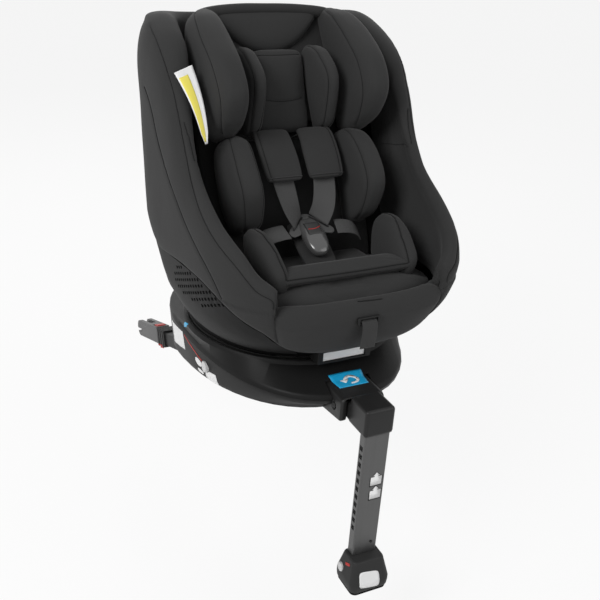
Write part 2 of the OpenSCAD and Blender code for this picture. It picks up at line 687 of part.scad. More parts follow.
// Torso bolster of the insert, with its forward bulge
module insert_bolster(s) {
    color("#373839") on_back() stack([
        [-388, s * 104, -12, 14, 24], [-379, s * 106, -24, 22, 42], [-340, s * 111, -39, 27, 60],
        [-292, s * 112, -36, 27, 57], [-250, s * 109, -26, 24, 45],
        [-234, s * 106, -16, 14, 28]], 10, 16, 2.6);
}

module insert_bolster_left() { insert_bolster(-1); }
module insert_bolster_right() { insert_bolster(1); }

module crotch_pad() {
    color("#2f3031") translate(buckle_at) rotate([buckle_tilt - 90, 0, 0]) translate([0, 14.7, -4])
        stack([[-48, 0, 0, 22, 2.5], [-43, 0, 0, 29, 4.5], [0, 0, 0, 30, 5.2], [40, 0, 0, 28, 4.5],
            [44, 0, 0, 20, 2.5]], 8, 12, 3);
}

// Harness

module buckle() {
    color("#4a4c4e") translate(buckle_at) rotate([buckle_tilt, 0, 0]) difference() {
        hull() {
            translate([0, 22, 0]) rounded_box([44, 30, 18], 8);
            translate([0, -24, 0]) rounded_box([30, 30, 14], 10);
            translate([0, 4, 2]) rounded_box([40, 40, 22], 10);
        }
        translate([-13.3, 3.7, 4]) cube([26.6, 24.6, 20]);
    }
}

module buckle_button() {
    color("#3c3e40") translate(buckle_at) rotate([buckle_tilt, 0, 0])
        translate([-13, 4, 9.2]) cube([26, 24, 4.2]);
}

// Flat webbing through a list of points, its width along w
module webbing(P, w, steps = 14, width = strap_w) {
    pts = curve_points(P, steps);
    function nrm(v) = v / norm(v);
    function out(k) = nrm(cross(nrm(pts[min(k + 1, steps)] - pts[max(k - 1, 0)]), w));
    function side(f) = [for (k = [0 : steps])
        [for (e = [-1, 1]) pts[k] + e * w * width / 2 + f * out(k) * strap_t / 2]];
    slab(side(1), side(-1));
}

// Two metal-edged tongues in the buckle's mouth
module buckle_tongues() {
    color("#6f7274") translate(buckle_at) rotate([buckle_tilt, 0, 0]) mirrored()
        linear_extrude(4) polygon([[0.5, 37.4], [24, 37.4], [25, 31], [31, 20], [40, 10], [46, 14], [42, 30],
        [19, 48], [0.5, 46]]);
}

// Lap webbing from each tongue down beside the hips
module lower_straps() {
    color("#5a5c5e") mirrored() webbing([[45, -33, 272.7], [58, -33, 272], [74, -31, 268], [86, -29, 261],
        [94, -27, 252]], [0.15, 0.9, 0.4], 8);
}

module shoulder_straps() {
    color("#5a5c5e") mirrored() webbing([back_point([40, 19.6, -230]), back_point([40, -4, -230]),
        back_point([40, -26, -238]), back_point([39, -39.6, -270]), back_point([37, -48.6, -318]),
        back_point([32, -46, -362]), [30, -10.5, 287.5]], [1, 0, 0], 14);
}

module shoulder_pads() {
    color("#3a3b3c") on_back() mirrored() stack([
        [-316, 38, -58, 25, 3.5], [-312, 38, -58, 31, 6], [-280, 39, -52, 33, 6.5],
        [-246, 40, -42, 32, 6], [-230, 40, -33, 31, 6], [-226, 40, -31, 27, 3.5]], 8, 12, 3);
}

module adjuster_strap() {
    color("#4a4c4e") webbing([[0, -233.6, 204], [0, -240, 202], [0, -243, 190], [0, -242, 172],
        [0, -240, 158]], [1, 0, 0], 8, pull_w);
}

module adjuster_bezel() {
    color("#1d1e20") difference() {
        translate([0, -236.9, 204]) rotate([90, 0, 0]) rounded_box([pull_w + 14, 12, 4], 3);
        translate([-pull_w / 2 - 2, -250, 200.5]) cube([pull_w + 4, 30, 7]);
    }
}

// Headrest

// Back plate on two sleeves that run on the rails behind the back panel
module headrest_shell() {
    color("#2b2c2e") on_back() difference() {
        union() {
            translate([-101.5, 8, -205]) cube([203, 8, 190]);
            translate([-46, 15.9, -96]) cube([92, 41, 10]);
            translate([-46, 51, -336]) cube([92, 6, 250]);
            mirrored() translate([45.9, 53.5, -336]) cube([14, 3, 88]);
            mirrored() translate([60, 62, -336]) cylinder(r = 8.5, h = 88);
        }
        mirrored() translate([60, 62, -400]) cylinder(r = 5 + fit, h = 400);
    }
}

// Crown pad, centre pad and the two small head bolsters
module headrest_pads() {
    color("#363738") on_back() union() {
        stack([[-84, 0, -1, 66, 4], [-78, 0, -2, 84, 9], [-44, 0, -3, 99.7, 10.5], [-7, 0, -2, 99.7, 8],
            [1, 0, -2, 92, 3]], 8, 16, 4);
        stack([[-222, 0, 2, 38, 4], [-214, 0, -2, 46, 9], [-160, 0, -8, 47, 15], [-110, 0, -16, 46, 19],
            [-92, 0, -14, 44, 16], [-86, 0, -10, 36, 8]], 8, 16, 4);
        mirrored() stack([[-226, 66, -16, 10, 14], [-216, 67, -24, 15, 28], [-160, 66, -44, 17, 50],
            [-112, 66, -34, 17, 40], [-92, 66, -24, 14, 26], [-84, 65, -18, 8, 12]], 10, 14, 2.4);
    }
}

// Side wing that reaches forward beside the head
module headrest_wing(s) {
    w = head_half;
    color("#353637") on_back() stack([
        [-232, s * (w - 4), -36, 15, 34], [-222, s * (w - 2), -45, 23, 55], [-190, s * w, -60, 28, 74],
        [-140, s * (w + 2), -58, 29, 72], [-84, s * (w + 2), -42, 29, 54], [-44, s * (w - 1), -26, 25, 38],
        [-20, s * (w - 5), -14, 19, 25], [-11, s * (w - 9), -9, 11, 14]], 12, 16, 3);
}

module headrest_wing_left() { headrest_wing(-1); }
module headrest_wing_right() { headrest_wing(1); }

module headrest_lever() {
    color("#3f4143") on_back() union() {
        translate([-34, 16.4, -40]) cube([68, 10, 26]);
        translate([-24, 16.4, -80]) cube([48, 4, 41]);
    }
}

base_tray();
base_cover();
base_frame();
leg_bracket();
pivot_bush();
hinge_pins();
base_screws();
side_button_left();
side_button_right();
anchor_sleeve_left();
anchor_sleeve_right();
anchor_arm_left();
anchor_arm_right();
anchor_connector_left();
anchor_connector_right();
anchor_hook_left();
anchor_hook_right();
anchor_release_left();
anchor_release_right();
leg_arm();
leg_outer_tube();
leg_inner_tube();
foot_housing();
foot_button_left();
foot_button_right();
foot_sole();
turntable();
cradle_rails();
seat_shell();
seat_bucket();
recline_runners();
side_panel_left();
side_panel_right();
recline_handle();
handle_housing();
wing_cover_left();
wing_cover_right();
front_cover();
wing_pad_left();
wing_pad_right();
seat_cushion();
back_cushion();
headrest_rails();
insert_seat();
insert_bolster_left();
insert_bolster_right();
crotch_pad();
buckle();
buckle_button();
buckle_tongues();
lower_straps();
adjuster_strap();
adjuster_bezel();
headrest_shell();
headrest_pads();
headrest_wing_left();
headrest_wing_right();
headrest_lever();
shoulder_straps();
shoulder_pads();
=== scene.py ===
"""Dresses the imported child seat: padded covers, seams, webbing, finishes, stickers, studio light and camera."""
import bisect
import math

import bmesh
import bpy
import numpy as np
from mathutils import Matrix, Vector, noise
from mathutils.bvhtree import BVHTree
from mathutils.kdtree import KDTree

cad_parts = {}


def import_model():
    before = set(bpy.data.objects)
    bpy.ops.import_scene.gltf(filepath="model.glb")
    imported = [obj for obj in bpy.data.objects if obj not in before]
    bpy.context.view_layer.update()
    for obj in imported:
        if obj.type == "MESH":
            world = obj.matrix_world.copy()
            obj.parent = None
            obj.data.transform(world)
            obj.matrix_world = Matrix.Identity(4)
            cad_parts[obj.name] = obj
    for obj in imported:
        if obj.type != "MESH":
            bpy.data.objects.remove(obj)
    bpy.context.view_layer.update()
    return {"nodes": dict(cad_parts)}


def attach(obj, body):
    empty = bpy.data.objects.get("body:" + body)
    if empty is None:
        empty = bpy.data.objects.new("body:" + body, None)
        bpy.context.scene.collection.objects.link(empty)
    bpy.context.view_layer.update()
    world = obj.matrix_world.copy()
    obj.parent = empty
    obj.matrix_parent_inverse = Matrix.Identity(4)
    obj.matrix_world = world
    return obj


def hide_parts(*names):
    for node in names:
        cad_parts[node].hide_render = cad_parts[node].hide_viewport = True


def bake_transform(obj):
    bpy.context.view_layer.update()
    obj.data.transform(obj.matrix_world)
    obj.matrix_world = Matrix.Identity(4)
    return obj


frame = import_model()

NODES = frame["nodes"]
SCENE = bpy.context.scene
MM = 0.001
SIDES = ((-1, "left"), (1, "right"))

# Sizes shared with the CAD source, in millimetres

COVER_T = 8.7
SHELL_T = 4.0
STRAP_W = 38.0
STRAP_T = 1.6
PULL_W = 26.0
BACK_LEAN = math.radians(30)
BACK_TOP = (207.0, 594.0)
BUCKLE_AT = Vector((0, -42, 262))
BUCKLE_TILT = math.radians(27)
HEAD_HALF = 125.0


# Curves

def table(*pairs):
    """A smooth curve through (x, y) pairs that never overshoots them."""
    xs = [p[0] for p in pairs]
    ys = [p[1] for p in pairs]
    rise = [(ys[i + 1] - ys[i]) / (xs[i + 1] - xs[i]) for i in range(len(xs) - 1)]
    inner = [2 * a * b / (a + b) if a * b > 0 else 0 for a, b in zip(rise, rise[1:])]
    slope = [rise[0], *inner, rise[-1]]

    def value(x):
        if x <= xs[0] or x >= xs[-1]:
            return ys[0] if x <= xs[0] else ys[-1]
        i = bisect.bisect_right(xs, x) - 1
        h = xs[i + 1] - xs[i]
        t = (x - xs[i]) / h
        return (ys[i] * (1 + 2 * t) * (1 - t) ** 2 + h * slope[i] * t * (1 - t) ** 2
                + ys[i + 1] * t * t * (3 - 2 * t) + h * slope[i + 1] * t * t * (t - 1))

    return value


def lengths(points):
    """How far along a line each of its points lies."""
    return np.concatenate([[0], np.cumsum(np.linalg.norm(np.diff(points, axis=0), axis=1))])


def unit(vectors):
    return vectors / np.linalg.norm(vectors, axis=-1, keepdims=True)


def around(count):
    """Even angles round a full turn."""
    return np.linspace(0, 2 * math.pi, count, endpoint=False)


def even(points, count):
    """Count evenly spaced points along a line of points."""
    points = np.asarray(points, float)
    along = lengths(points)
    at = np.linspace(0, along[-1], count)
    return np.stack([np.interp(at, along, points[:, k]) for k in range(points.shape[1])], 1)


def spline(points, count):
    """Count evenly spaced points along a smooth curve through the given points."""
    p = np.asarray(points, float)
    ends = np.concatenate([p[:1], p, p[-1:]])
    t = np.linspace(0, 1, 12, endpoint=False)[:, None]
    dense = []
    for a, b, c, d in zip(ends, ends[1:], ends[2:], ends[3:]):
        dense.append(b + 0.5 * t * (c - a + t * (2 * a - 5 * b + 4 * c - d + t * (3 * (b - c) + d - a))))
    return even(np.concatenate([*dense, p[-1:]]), count)


def signed_power(value, power):
    return math.copysign(abs(value) ** power, value)


def mirrored(points, side, axis=0):
    """Points given for the right, turned over for the left."""
    flip = np.ones(np.shape(points)[1])
    flip[axis] = side
    return np.asarray(points, float) * flip


def both(*names):
    """The left and right form of each name."""
    return [f"{name}_{word}" for name in names for _, word in SIDES]


# The seat's outline, as in the CAD source

rim_z = table((-238, 246), (-213, 264), (-177, 297), (-107, 328), (-42, 361), (4, 407), (47, 477), (87, 529),
              (135, 560), (182, 574), (225, 568), (304, 536))
plan_w = table((101, 182), (125, 197), (150, 210), (165, 214), (215, 220), (255, 223), (420, 224), (520, 228),
               (575, 225))
plan_front = table((101, -152), (125, -186), (150, -214), (165, -222), (215, -236), (255, -238))
plan_rear = table((101, 212), (165, 204), (215, 222), (255, 246), (330, 266), (420, 286), (520, 300), (575, 304))
plan_mid = table((101, 30), (215, 60))
plan_square = table((101, 2), (125, 2.4), (150, 2.9), (215, 3.9), (255, 4.5))
hem_z = table((-237, 130), (-226, 156), (-213, 190), (-185, 212), (-156, 227), (-120, 236), (-90, 239), (-40, 236),
              (0, 230), (60, 221), (110, 217), (150, 224), (200, 246), (247, 262))
HIP_Z = 260
LEAN_FROM, LEAN_DEPTH, LEAN_FADE = 230, 13, 36
PAN_Z, PAN_FALL, PAN_FRONT = 182, 0.07, -190


def lean_in(y, z):
    """How far the wall leans in towards the rim."""
    return 0 if z < LEAN_FROM else -LEAN_DEPTH * math.exp(-max(rim_z(y) - z, 0) / LEAN_FADE)


def plan_point(angle, z, off):
    p, m = 2 / plan_square(z), plan_mid(z)
    s = signed_power(math.sin(angle), p)
    c = signed_power(math.cos(angle), p)
    y = m + s * ((plan_rear(z) - m if s > 0 else m - plan_front(z)) + off)
    return c * (plan_w(z) + off + lean_in(y, z)), y, z


def side_angle(y):
    m = plan_mid(HIP_Z)
    d = plan_rear(HIP_Z) - m if y > m else m - plan_front(HIP_Z)
    return math.copysign(math.asin(min((abs(y - m) / d) ** (plan_square(HIP_Z) / 2), 1)), y - m)


def wall_x(y, z, off):
    n, m = plan_square(z), plan_mid(z)
    d = (plan_rear(z) - m if y > m else m - plan_front(z)) + off
    return (plan_w(z) + off + lean_in(y, z)) * max(1 - (abs(y - m) / d) ** n, 0) ** (1 / n)


def pan_at(y):
    return PAN_Z - PAN_FALL * (y - PAN_FRONT)


cushion_h = table((-203, 1), (-202, 22), (-199, 36), (-195, 45), (-188, 52), (-178, 55), (-165, 53), (-142, 47),
                  (-120, 41), (-90, 36), (-60, 32.5), (-20, 29.5), (0, 28))


def on_back(points):
    """Points of (across, out of the backrest, up the backrest) in the seat's own frame."""
    x, v, u = np.moveaxis(np.asarray(points, float), -1, 0)
    s, c = math.sin(BACK_LEAN), math.cos(BACK_LEAN)
    return np.stack([x, BACK_TOP[0] + v * c + u * s, BACK_TOP[1] - v * s + u * c], -1)


def at_buckle(points):
    turn = Matrix.Rotation(BUCKLE_TILT, 3, "X")
    flat = [BUCKLE_AT + turn @ Vector(p) for p in np.reshape(points, (-1, 3))]
    return np.reshape(np.array(flat), np.shape(points))


# Materials

def new_material(name, colour, roughness, **sockets):
    """A material with its tree, its shader and its coordinates."""
    mat = bpy.data.materials.new(name)
    mat.use_nodes = True
    shader = mat.node_tree.nodes["Principled BSDF"]
    shader.inputs["Base Color"].default_value = (*colour, 1)
    shader.inputs["Roughness"].default_value = roughness
    for socket, value in sockets.items():
        shader.inputs[socket.replace("_", " ")].default_value = value
    return mat, mat.node_tree, shader, add(mat.node_tree, "TexCoord").outputs


def add(tree, kind, inputs=None, **settings):
    node = tree.nodes.new("ShaderNode" + kind)
    for key, value in settings.items():
        setattr(node, key, value)
    for key, value in (inputs or {}).items():
        if hasattr(value, "is_linked"):
            tree.links.new(value, node.inputs[key])
        else:
            node.inputs[key].default_value = value
    return node


def mottle(tree, place, scale, detail=2.0):
    return add(tree, "TexNoise", {"Vector": place, "Scale": scale, "Detail": detail}).outputs["Fac"]


def shades(tree, shader, height, colour, spread):
    """Colour that runs from a darker to a lighter tone with a pattern's height."""
    ramp = add(tree, "ValToRGB", {"Fac": height})
    for stop, factor in zip(ramp.color_ramp.elements, (1 - spread, 1 + spread)):
        stop.color = (*[min(c * factor, 1) for c in colour], 1)
    tree.links.new(ramp.outputs["Color"], shader.inputs["Base Color"])


def gloss_range(tree, shader, height, low, high):
    spread = add(tree, "MapRange", {"Value": height, "To Min": low, "To Max": high})
    tree.links.new(spread.outputs["Result"], shader.inputs["Roughness"])


def relief(tree, shader, height, depth, under=None):
    """Bump of a depth in metres."""
    inputs = {"Height": height, "Strength": 1.0, "Distance": depth}
    if under:
        inputs["Normal"] = under
    bump = add(tree, "Bump", inputs)
    tree.links.new(bump.outputs["Normal"], shader.inputs["Normal"])
    return bump.outputs["Normal"]


def fabric(name, colour, yarn=0.0012, depth=0.00018):
    """Fine knit: round stitches at yarn size, soft patches of tone, a little sheen."""
    mat, tree, shader, at = new_material(name, colour, 0.85, Specular_IOR_Level=0.12, Sheen_Weight=0.06,
                                         Sheen_Roughness=0.5)
    place = at["Object"]
    stitch = add(tree, "TexVoronoi", {"Vector": place, "Scale": 1 / yarn, "Randomness": 0.55}, feature="SMOOTH_F1")
    patch = mottle(tree, place, 22.0, 3.0)
    tone = add(tree, "MixRGB", {"Fac": 0.45, "Color1": patch, "Color2": mottle(tree, place, 900.0)})
    shades(tree, shader, tone.outputs["Color"], colour, 0.16)
    gloss_range(tree, shader, patch, 0.78, 0.95)
    soft = relief(tree, shader, patch, 0.0006)
    relief(tree, shader, stitch.outputs["Distance"], depth, soft)
    return mat


def webbing_material(name, colour):
    """Woven webbing: fine ribs along the strap with a chevron across it, from UVs in millimetres."""
    mat, tree, shader, at = new_material(name, colour, 0.7, Specular_IOR_Level=0.15, Sheen_Weight=0.08)
    place = at["UV"]
    ribs = add(tree, "TexWave", {"Vector": place, "Scale": 0.32, "Distortion": 0.4}, bands_direction="X")
    picks = add(tree, "TexWave", {"Vector": place, "Scale": 0.42, "Distortion": 0.6}, bands_direction="DIAGONAL")
    weave = add(tree, "MixRGB", {"Fac": 0.5, "Color1": ribs.outputs["Fac"], "Color2": picks.outputs["Fac"]})
    shades(tree, shader, weave.outputs["Color"], colour, 0.22)
    gloss_range(tree, shader, weave.outputs["Color"], 0.55, 0.8)
    relief(tree, shader, weave.outputs["Color"], 0.00025)
    return mat


def plastic(name, colour, roughness, shine=0.5, grain=0.0009, depth=0.00006, **sockets):
    """Moulded plastic: spark-eroded grain and slow changes of tone and gloss."""
    mat, tree, shader, at = new_material(name, colour, roughness, Specular_IOR_Level=shine, **sockets)
    place = at["Object"]
    slow = mottle(tree, place, 14.0, 3.0)
    shades(tree, shader, slow, colour, 0.1)
    gloss_range(tree, shader, slow, roughness - 0.07, roughness + 0.07)
    relief(tree, shader, mottle(tree, place, 1 / grain), depth)
    return mat


def metal(name, colour, roughness):
    """Drawn and powder-coated metal: streaks along z, fine peel."""
    mat, tree, shader, at = new_material(name, colour, roughness, Metallic=0.75)
    place = at["Object"]
    stretch = add(tree, "Mapping", {"Vector": place, "Scale": (260.0, 260.0, 12.0)})
    streak = mottle(tree, stretch.outputs["Vector"], 1.0, 3.0)
    shades(tree, shader, streak, colour, 0.12)
    gloss_range(tree, shader, streak, roughness - 0.08, roughness + 0.08)
    relief(tree, shader, mottle(tree, place, 700.0), 0.00003)
    return mat


def grey(level):
    """A neutral grey of an 8-bit screen level."""
    c = level / 255
    return (c / 12.92 if c <= 0.04045 else ((c + 0.055) / 1.055) ** 2.4,) * 3


FABRIC = fabric("knit_charcoal", grey(50))
LINER = fabric("knit_liner", grey(48), 0.0014)
# The seams' thread is darker than the cloth: its own colour plus painted shade of the seam's groove.
SEAM_THREAD_AND_SHADE = fabric("seam_thread_and_shade", grey(28), 0.0005, 0.0001)
PIPING = fabric("piping", grey(54), 0.0009)
WEBBING = webbing_material("webbing_grey", grey(74))
PULL = webbing_material("webbing_dark", grey(52))
BASE = plastic("base_plastic", grey(26), 0.42, 0.1)
ARM = plastic("arm_plastic", grey(34), 0.36, 0.22)
SHELL = plastic("shell_plastic", grey(18), 0.45, 0.02)
FOOT = plastic("foot_plastic", grey(46), 0.5, 0.15)
VENT = plastic("vent_plastic", grey(28), 0.5, 0.06)
DARK = plastic("dark_plastic", grey(26), 0.5, 0.2)
GLOSS = plastic("buckle_gloss", grey(72), 0.2, depth=0.00001, Coat_Weight=0.3)
BUTTON = plastic("buckle_button", grey(48), 0.35, 0.3, depth=0.00001)
PALE = plastic("pale_plastic", grey(196), 0.4)
CLEAR_GREY = plastic("handle_plastic", grey(232), 0.35)
CONNECTOR = plastic("connector_plastic", grey(78), 0.45, 0.3)
TONGUE = plastic("tongue_plastic", grey(70), 0.4, 0.3)
RED = plastic("indicator_red", (0.42, 0.02, 0.015), 0.4, 0.3)
BLUE = plastic("label_blue", (0.01, 0.36, 0.66), 0.38)
WHITE = plastic("label_white", grey(226), 0.45, depth=0.00001)
YELLOW = plastic("tag_yellow", (0.78, 0.68, 0.11), 0.5, depth=0.00001)
RUBBER = plastic("sole_rubber", grey(30), 0.75, 0.2, grain=0.0015, depth=0.0001)
STEEL = metal("frame_steel", grey(120), 0.4)
TUBE = metal("leg_tube", grey(92), 0.42)

NODE_MATERIALS = {
    BASE: ["base_tray", "base_cover", "turntable"],
    ARM: ["leg_bracket"],
    FOOT: ["foot_housing"],
    STEEL: ["base_frame", "base_screws", "cradle_rails", "headrest_rails", "leg_inner_tube",
            *both("anchor_sleeve", "anchor_hook")],
    DARK: ["pivot_bush", "hinge_pins", "recline_runners", "handle_housing", "adjuster_bezel", "headrest_shell",
           *both("anchor_arm")],
    PALE: both("side_button", "foot_button"),
    CLEAR_GREY: ["recline_handle"],
    CONNECTOR: both("anchor_connector"),
    RED: both("anchor_release"),
    TUBE: ["leg_outer_tube"],
    RUBBER: ["foot_sole"],
    SHELL: ["seat_shell", "seat_bucket", "headrest_lever"],
    VENT: both("side_panel"),
}


# Mesh makers, from points in millimetres

def linked(name, data):
    obj = bpy.data.objects.new(name, data)
    SCENE.collection.objects.link(obj)
    return obj


def bake(obj):
    """Makes an object's modifiers part of its mesh."""
    mesh = bpy.data.meshes.new_from_object(obj.evaluated_get(bpy.context.evaluated_depsgraph_get()))
    obj.modifiers.clear()
    obj.data = mesh


def solid(name, points, faces, material, uv=None):
    """A closed mesh object with its faces turned outwards."""
    points = np.asarray(points, float) * MM
    triangles = [(f[0], f[i], f[i + 1]) for f in faces for i in range(1, len(f) - 1)]
    a, b, c = (points[[t[k] for t in triangles]] for k in range(3))
    if np.einsum("ij,ij->i", a, np.cross(b, c)).sum() < 0:
        faces = [f[::-1] for f in faces]
    mesh = bpy.data.meshes.new(name)
    mesh.from_pydata(points.tolist(), [], faces)
    mesh.shade_smooth()
    if uv is not None:
        layer = mesh.uv_layers.new(name="weave")
        corners = np.empty(len(mesh.loops), int)
        mesh.loops.foreach_get("vertex_index", corners)
        layer.data.foreach_set("uv", np.asarray(uv, float)[corners].ravel())
    mesh.materials.append(material)
    return linked(name, mesh)


def merged(name, shapes, material):
    """One object of several (points, faces) shapes."""
    points, faces, start = [], [], 0
    for p, f in shapes:
        points.append(np.asarray(p, float))
        faces += [tuple(i + start for i in face) for face in f]
        start += len(p)
    return solid(name, np.concatenate(points), faces, material)


def grid_faces(m, n, closed=False):
    """Quads over m rows of n points; closed joins the last point of a row to its first."""
    return [(j * n + i, j * n + (i + 1) % n, (j + 1) * n + (i + 1) % n, (j + 1) * n + i)
            for j in range(m - 1) for i in range(n if closed else n - 1)]


def slab(name, outer, inner, material, uv=None):
    """A closed solid between two point grids of the same size."""
    outer, inner = np.asarray(outer, float), np.asarray(inner, float)
    m, n = outer.shape[:2]
    o = m * n
    top = grid_faces(m, n)
    faces = top + [tuple(p + o for p in reversed(f)) for f in top]
    for j in range(m - 1):
        p, q = j * n, j * n + n - 1
        faces += [(p, p + n, p + n + o, p + o), (q + n, q, q + o, q + n + o)]
    for i in range(n - 1):
        p, q = i, (m - 1) * n + i
        faces += [(p + 1, p, p + o, p + 1 + o), (q, q + 1, q + 1 + o, q + o)]
    if uv is not None:
        uv = np.concatenate([np.reshape(uv, (-1, 2))] * 2)
    return solid(name, np.concatenate([outer.reshape(-1, 3), inner.reshape(-1, 3)]), faces, material, uv)


def stack_rings(rows, count, sides, power, lean=0.0):
    """Rounded rings along rows of (up, across, out, half across, half out)."""
    rows = spline(rows, count)
    ca = np.array([signed_power(math.cos(a), 2 / power) for a in around(sides)])
    sa = np.array([signed_power(math.sin(a), 2 / power) for a in around(sides)])
    rings = np.empty((count, sides, 3))
    for ring, (u, x, v, hx, hv) in zip(rings, rows):
        ring[:, 0] = x + hx * ca
        ring[:, 1] = v + hv * sa
        ring[:, 2] = u + lean * hv * sa
    return rings


def domed(rings, height):
    """The rings with rounded ends, and the two end points."""
    caps = []
    for ring, up in ((rings[0], -1), (rings[-1], 1)):
        centre = ring.mean(0)
        cap = []
        for f in (0.86, 0.6, 0.3):
            r = centre + (ring - centre) * f
            r[:, 2] += up * height * math.sqrt(1 - f * f)
            cap.append(r)
        caps.append((np.array(cap), centre + [0, 0, up * height]))
    (low, low_end), (high, high_end) = caps
    return np.concatenate([low[::-1], rings, high]), low_end, high_end


def loft(name, rings, ends, material, place=lambda p: p):
    """A closed solid over rings, closed with a point at each end."""
    m, n = rings.shape[:2]
    points = np.concatenate([place(rings).reshape(-1, 3), place(np.array(ends))])
    faces = grid_faces(m, n, True) + [((i + 1) % n, i, m * n) for i in range(n)]
    faces += [((m - 1) * n + i, (m - 1) * n + (i + 1) % n, m * n + 1) for i in range(n)]
    return solid(name, points, faces, material)


def patch_point(corners, u, v):
    """A point of a four-cornered patch, at shares of its width and its height."""
    a, b, c, d = np.asarray(corners, float)
    return (1 - v) * ((1 - u) * a + u * b) + v * ((1 - u) * d + u * c)


def coords(mesh):
    flat = np.empty(len(mesh.vertices) * 3)
    mesh.vertices.foreach_get("co", flat)
    return flat.reshape(-1, 3) / MM


def set_coords(mesh, points):
    mesh.vertices.foreach_set("co", (points * MM).ravel())
    mesh.update()


def normals(mesh):
    flat = np.empty(len(mesh.vertices) * 3, np.float32)
    mesh.vertex_normals.foreach_get("vector", flat)
    return flat.reshape(-1, 3)


def finer(obj):
    """Makes one subdivision part of the mesh."""
    obj.modifiers.new("finer", "SUBSURF").levels = 1
    bake(obj)
    obj.data.shade_smooth()


def rumple(obj, height, size, seed):
    """Slow unevenness of stuffed cloth."""
    points = coords(obj.data)
    out = normals(obj.data)
    shift = Vector((seed * 13.7, seed * 5.1, 0))
    wave = np.array([noise.noise(Vector(p) / size + shift) for p in points])
    set_coords(obj.data, points + out * (height * wave)[:, None])


def tube(points, radius, sides=8):
    """Points and faces of a closed round tube along a line."""
    points = np.asarray(points, float)
    ahead = unit(np.gradient(points, axis=0))
    side = np.cross(ahead[0], [0.31, 0.87, 0.39])
    rings = []
    for p, t, reach in zip(points, ahead, np.broadcast_to(radius, len(points))):
        side = unit(side - t * side.dot(t))
        other = np.cross(t, side)
        rings.append([p + reach * (math.cos(a) * side + math.sin(a) * other) for a in around(sides)])
    m = len(rings)
    faces = grid_faces(m, sides, True)
    faces += [tuple(reversed(range(sides))), tuple((m - 1) * sides + i for i in range(sides))]
    return np.reshape(rings, (-1, 3)), faces


def surface(obj):
    mesh = obj.data
    return BVHTree.FromPolygons([Vector(p) for p in coords(mesh)], [tuple(p.vertices) for p in mesh.polygons])


def sew(obj, lines, depth=1.5, width=2.6, thread=0.55, material=None, sink=0.1):
    """Draws the cloth in along lines and lays a thread or a piping in each; the dark default thread adds painted shade
    along the seam.
    """
    ground = surface(obj)
    fitted = []
    for line in lines:
        path = spline(line, max(int(lengths(line)[-1] / 2.5), 8))
        fitted.append(np.array([ground.find_nearest(Vector(p))[0] for p in path]))
    marks = np.concatenate([even(f, 2 * len(f)) for f in fitted])
    tree = KDTree(len(marks))
    for i, p in enumerate(marks):
        tree.insert(Vector(p), i)
    tree.balance()
    points = coords(obj.data)
    far = np.array([tree.find(Vector(p))[2] for p in points])
    set_coords(obj.data, points - normals(obj.data) * (depth * np.exp(-(far / width) ** 2))[:, None])
    ground = surface(obj)
    laid = []
    for f in fitted:
        path = []
        for p in f:
            spot, out, _, _ = ground.find_nearest(Vector(p))
            path.append(spot + out * (thread * (1 - 2 * sink)))
        path = np.array(path)
        path[1:-1] = (path[:-2] + 2 * path[1:-1] + path[2:]) / 4
        laid.append(path)
    trim = merged(obj.name + "_seam", [tube(path, thread) for path in laid], material or SEAM_THREAD_AND_SHADE)
    trim.parent = obj
    return trim


# Swelling of padded pieces with cloth pressure

PADS = []
CLOTH_FRAMES = 20
CLOTH_SETTINGS = {"quality": 4, "mass": 0.2, "tension_stiffness": 18, "compression_stiffness": 18,
                  "shear_stiffness": 6, "bending_stiffness": 1.5, "use_pressure": True, "vertex_group_mass": "held"}


def swell(obj, held, pressure=4.0, cap=5.0):
    """Puts a pad on the list of those that the cloth solver swells, held at the named vertices."""
    PADS.append((obj, held, pressure, cap))


def run_cloth():
    """Swells all listed pads together, caps how far a point moves, and keeps the result in the meshes."""
    starts = []
    for obj, held, pressure, _ in PADS:
        starts.append(coords(obj.data))
        group = obj.vertex_groups.new(name="held")
        group.add([int(i) for i in held], 1.0, "REPLACE")
        cloth = obj.modifiers.new("cloth", "CLOTH")
        for key, value in CLOTH_SETTINGS.items():
            setattr(cloth.settings, key, value)
        cloth.settings.uniform_pressure_force = pressure
        cloth.settings.effector_weights.gravity = 0
        cloth.collision_settings.use_collision = False
        cloth.point_cache.frame_end = CLOTH_FRAMES
    for step in range(1, CLOTH_FRAMES + 1):
        SCENE.frame_set(step)
    graph = bpy.context.evaluated_depsgraph_get()
    for (obj, _, _, cap), start in zip(PADS, starts):
        move = coords(obj.evaluated_get(graph).data) - start
        length = np.linalg.norm(move, axis=1)
        move *= np.minimum(1, cap / np.maximum(length, 1e-6))[:, None]
        obj.modifiers.clear()
        obj.vertex_groups.clear()
        set_coords(obj.data, start + move)
    SCENE.frame_set(1)


def finish_piece(obj, body, nodes=()):
    """Gives a piece its body and the nodes that it stands for."""
    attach(obj, body)
    if nodes:
        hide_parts(*nodes)


def finish_pad(obj, body, nodes):
    finish_piece(obj, body, nodes)


# Wing covers with their inner pads, and the front cover: padded cloth over the shell

pad_fullness = table((-222, 0.02), (-200, 0.12), (-170, 0.45), (-140, 0.85), (-110, 1), (60, 1), (110, 0.6), (150, 0.1),
                     (260, 0))
WING_FRONT, WING_REAR = -222, math.radians(89.9999)
RIM_DROP = 34
PAD_LOW, PAD_T, PAD_GAP = 216, 24, 6.6
wing_roll = table((-222, 1), (0, 1), (60, 1.4), (110, 1.85), (200, 1.95), (250, 1.4))


def pad_face(y, z):
    """How far in the padding of a wing's inside stands."""
    t = min(max((z - PAD_LOW) / (rim_z(y) - PAD_LOW - 27), 0), 1)
    full = pad_fullness(y) * math.sin(math.pi * (0.1 + 0.8 * t)) ** 0.5
    return -COVER_T - SHELL_T - PAD_GAP - PAD_T * (0.25 + 0.75 * full)


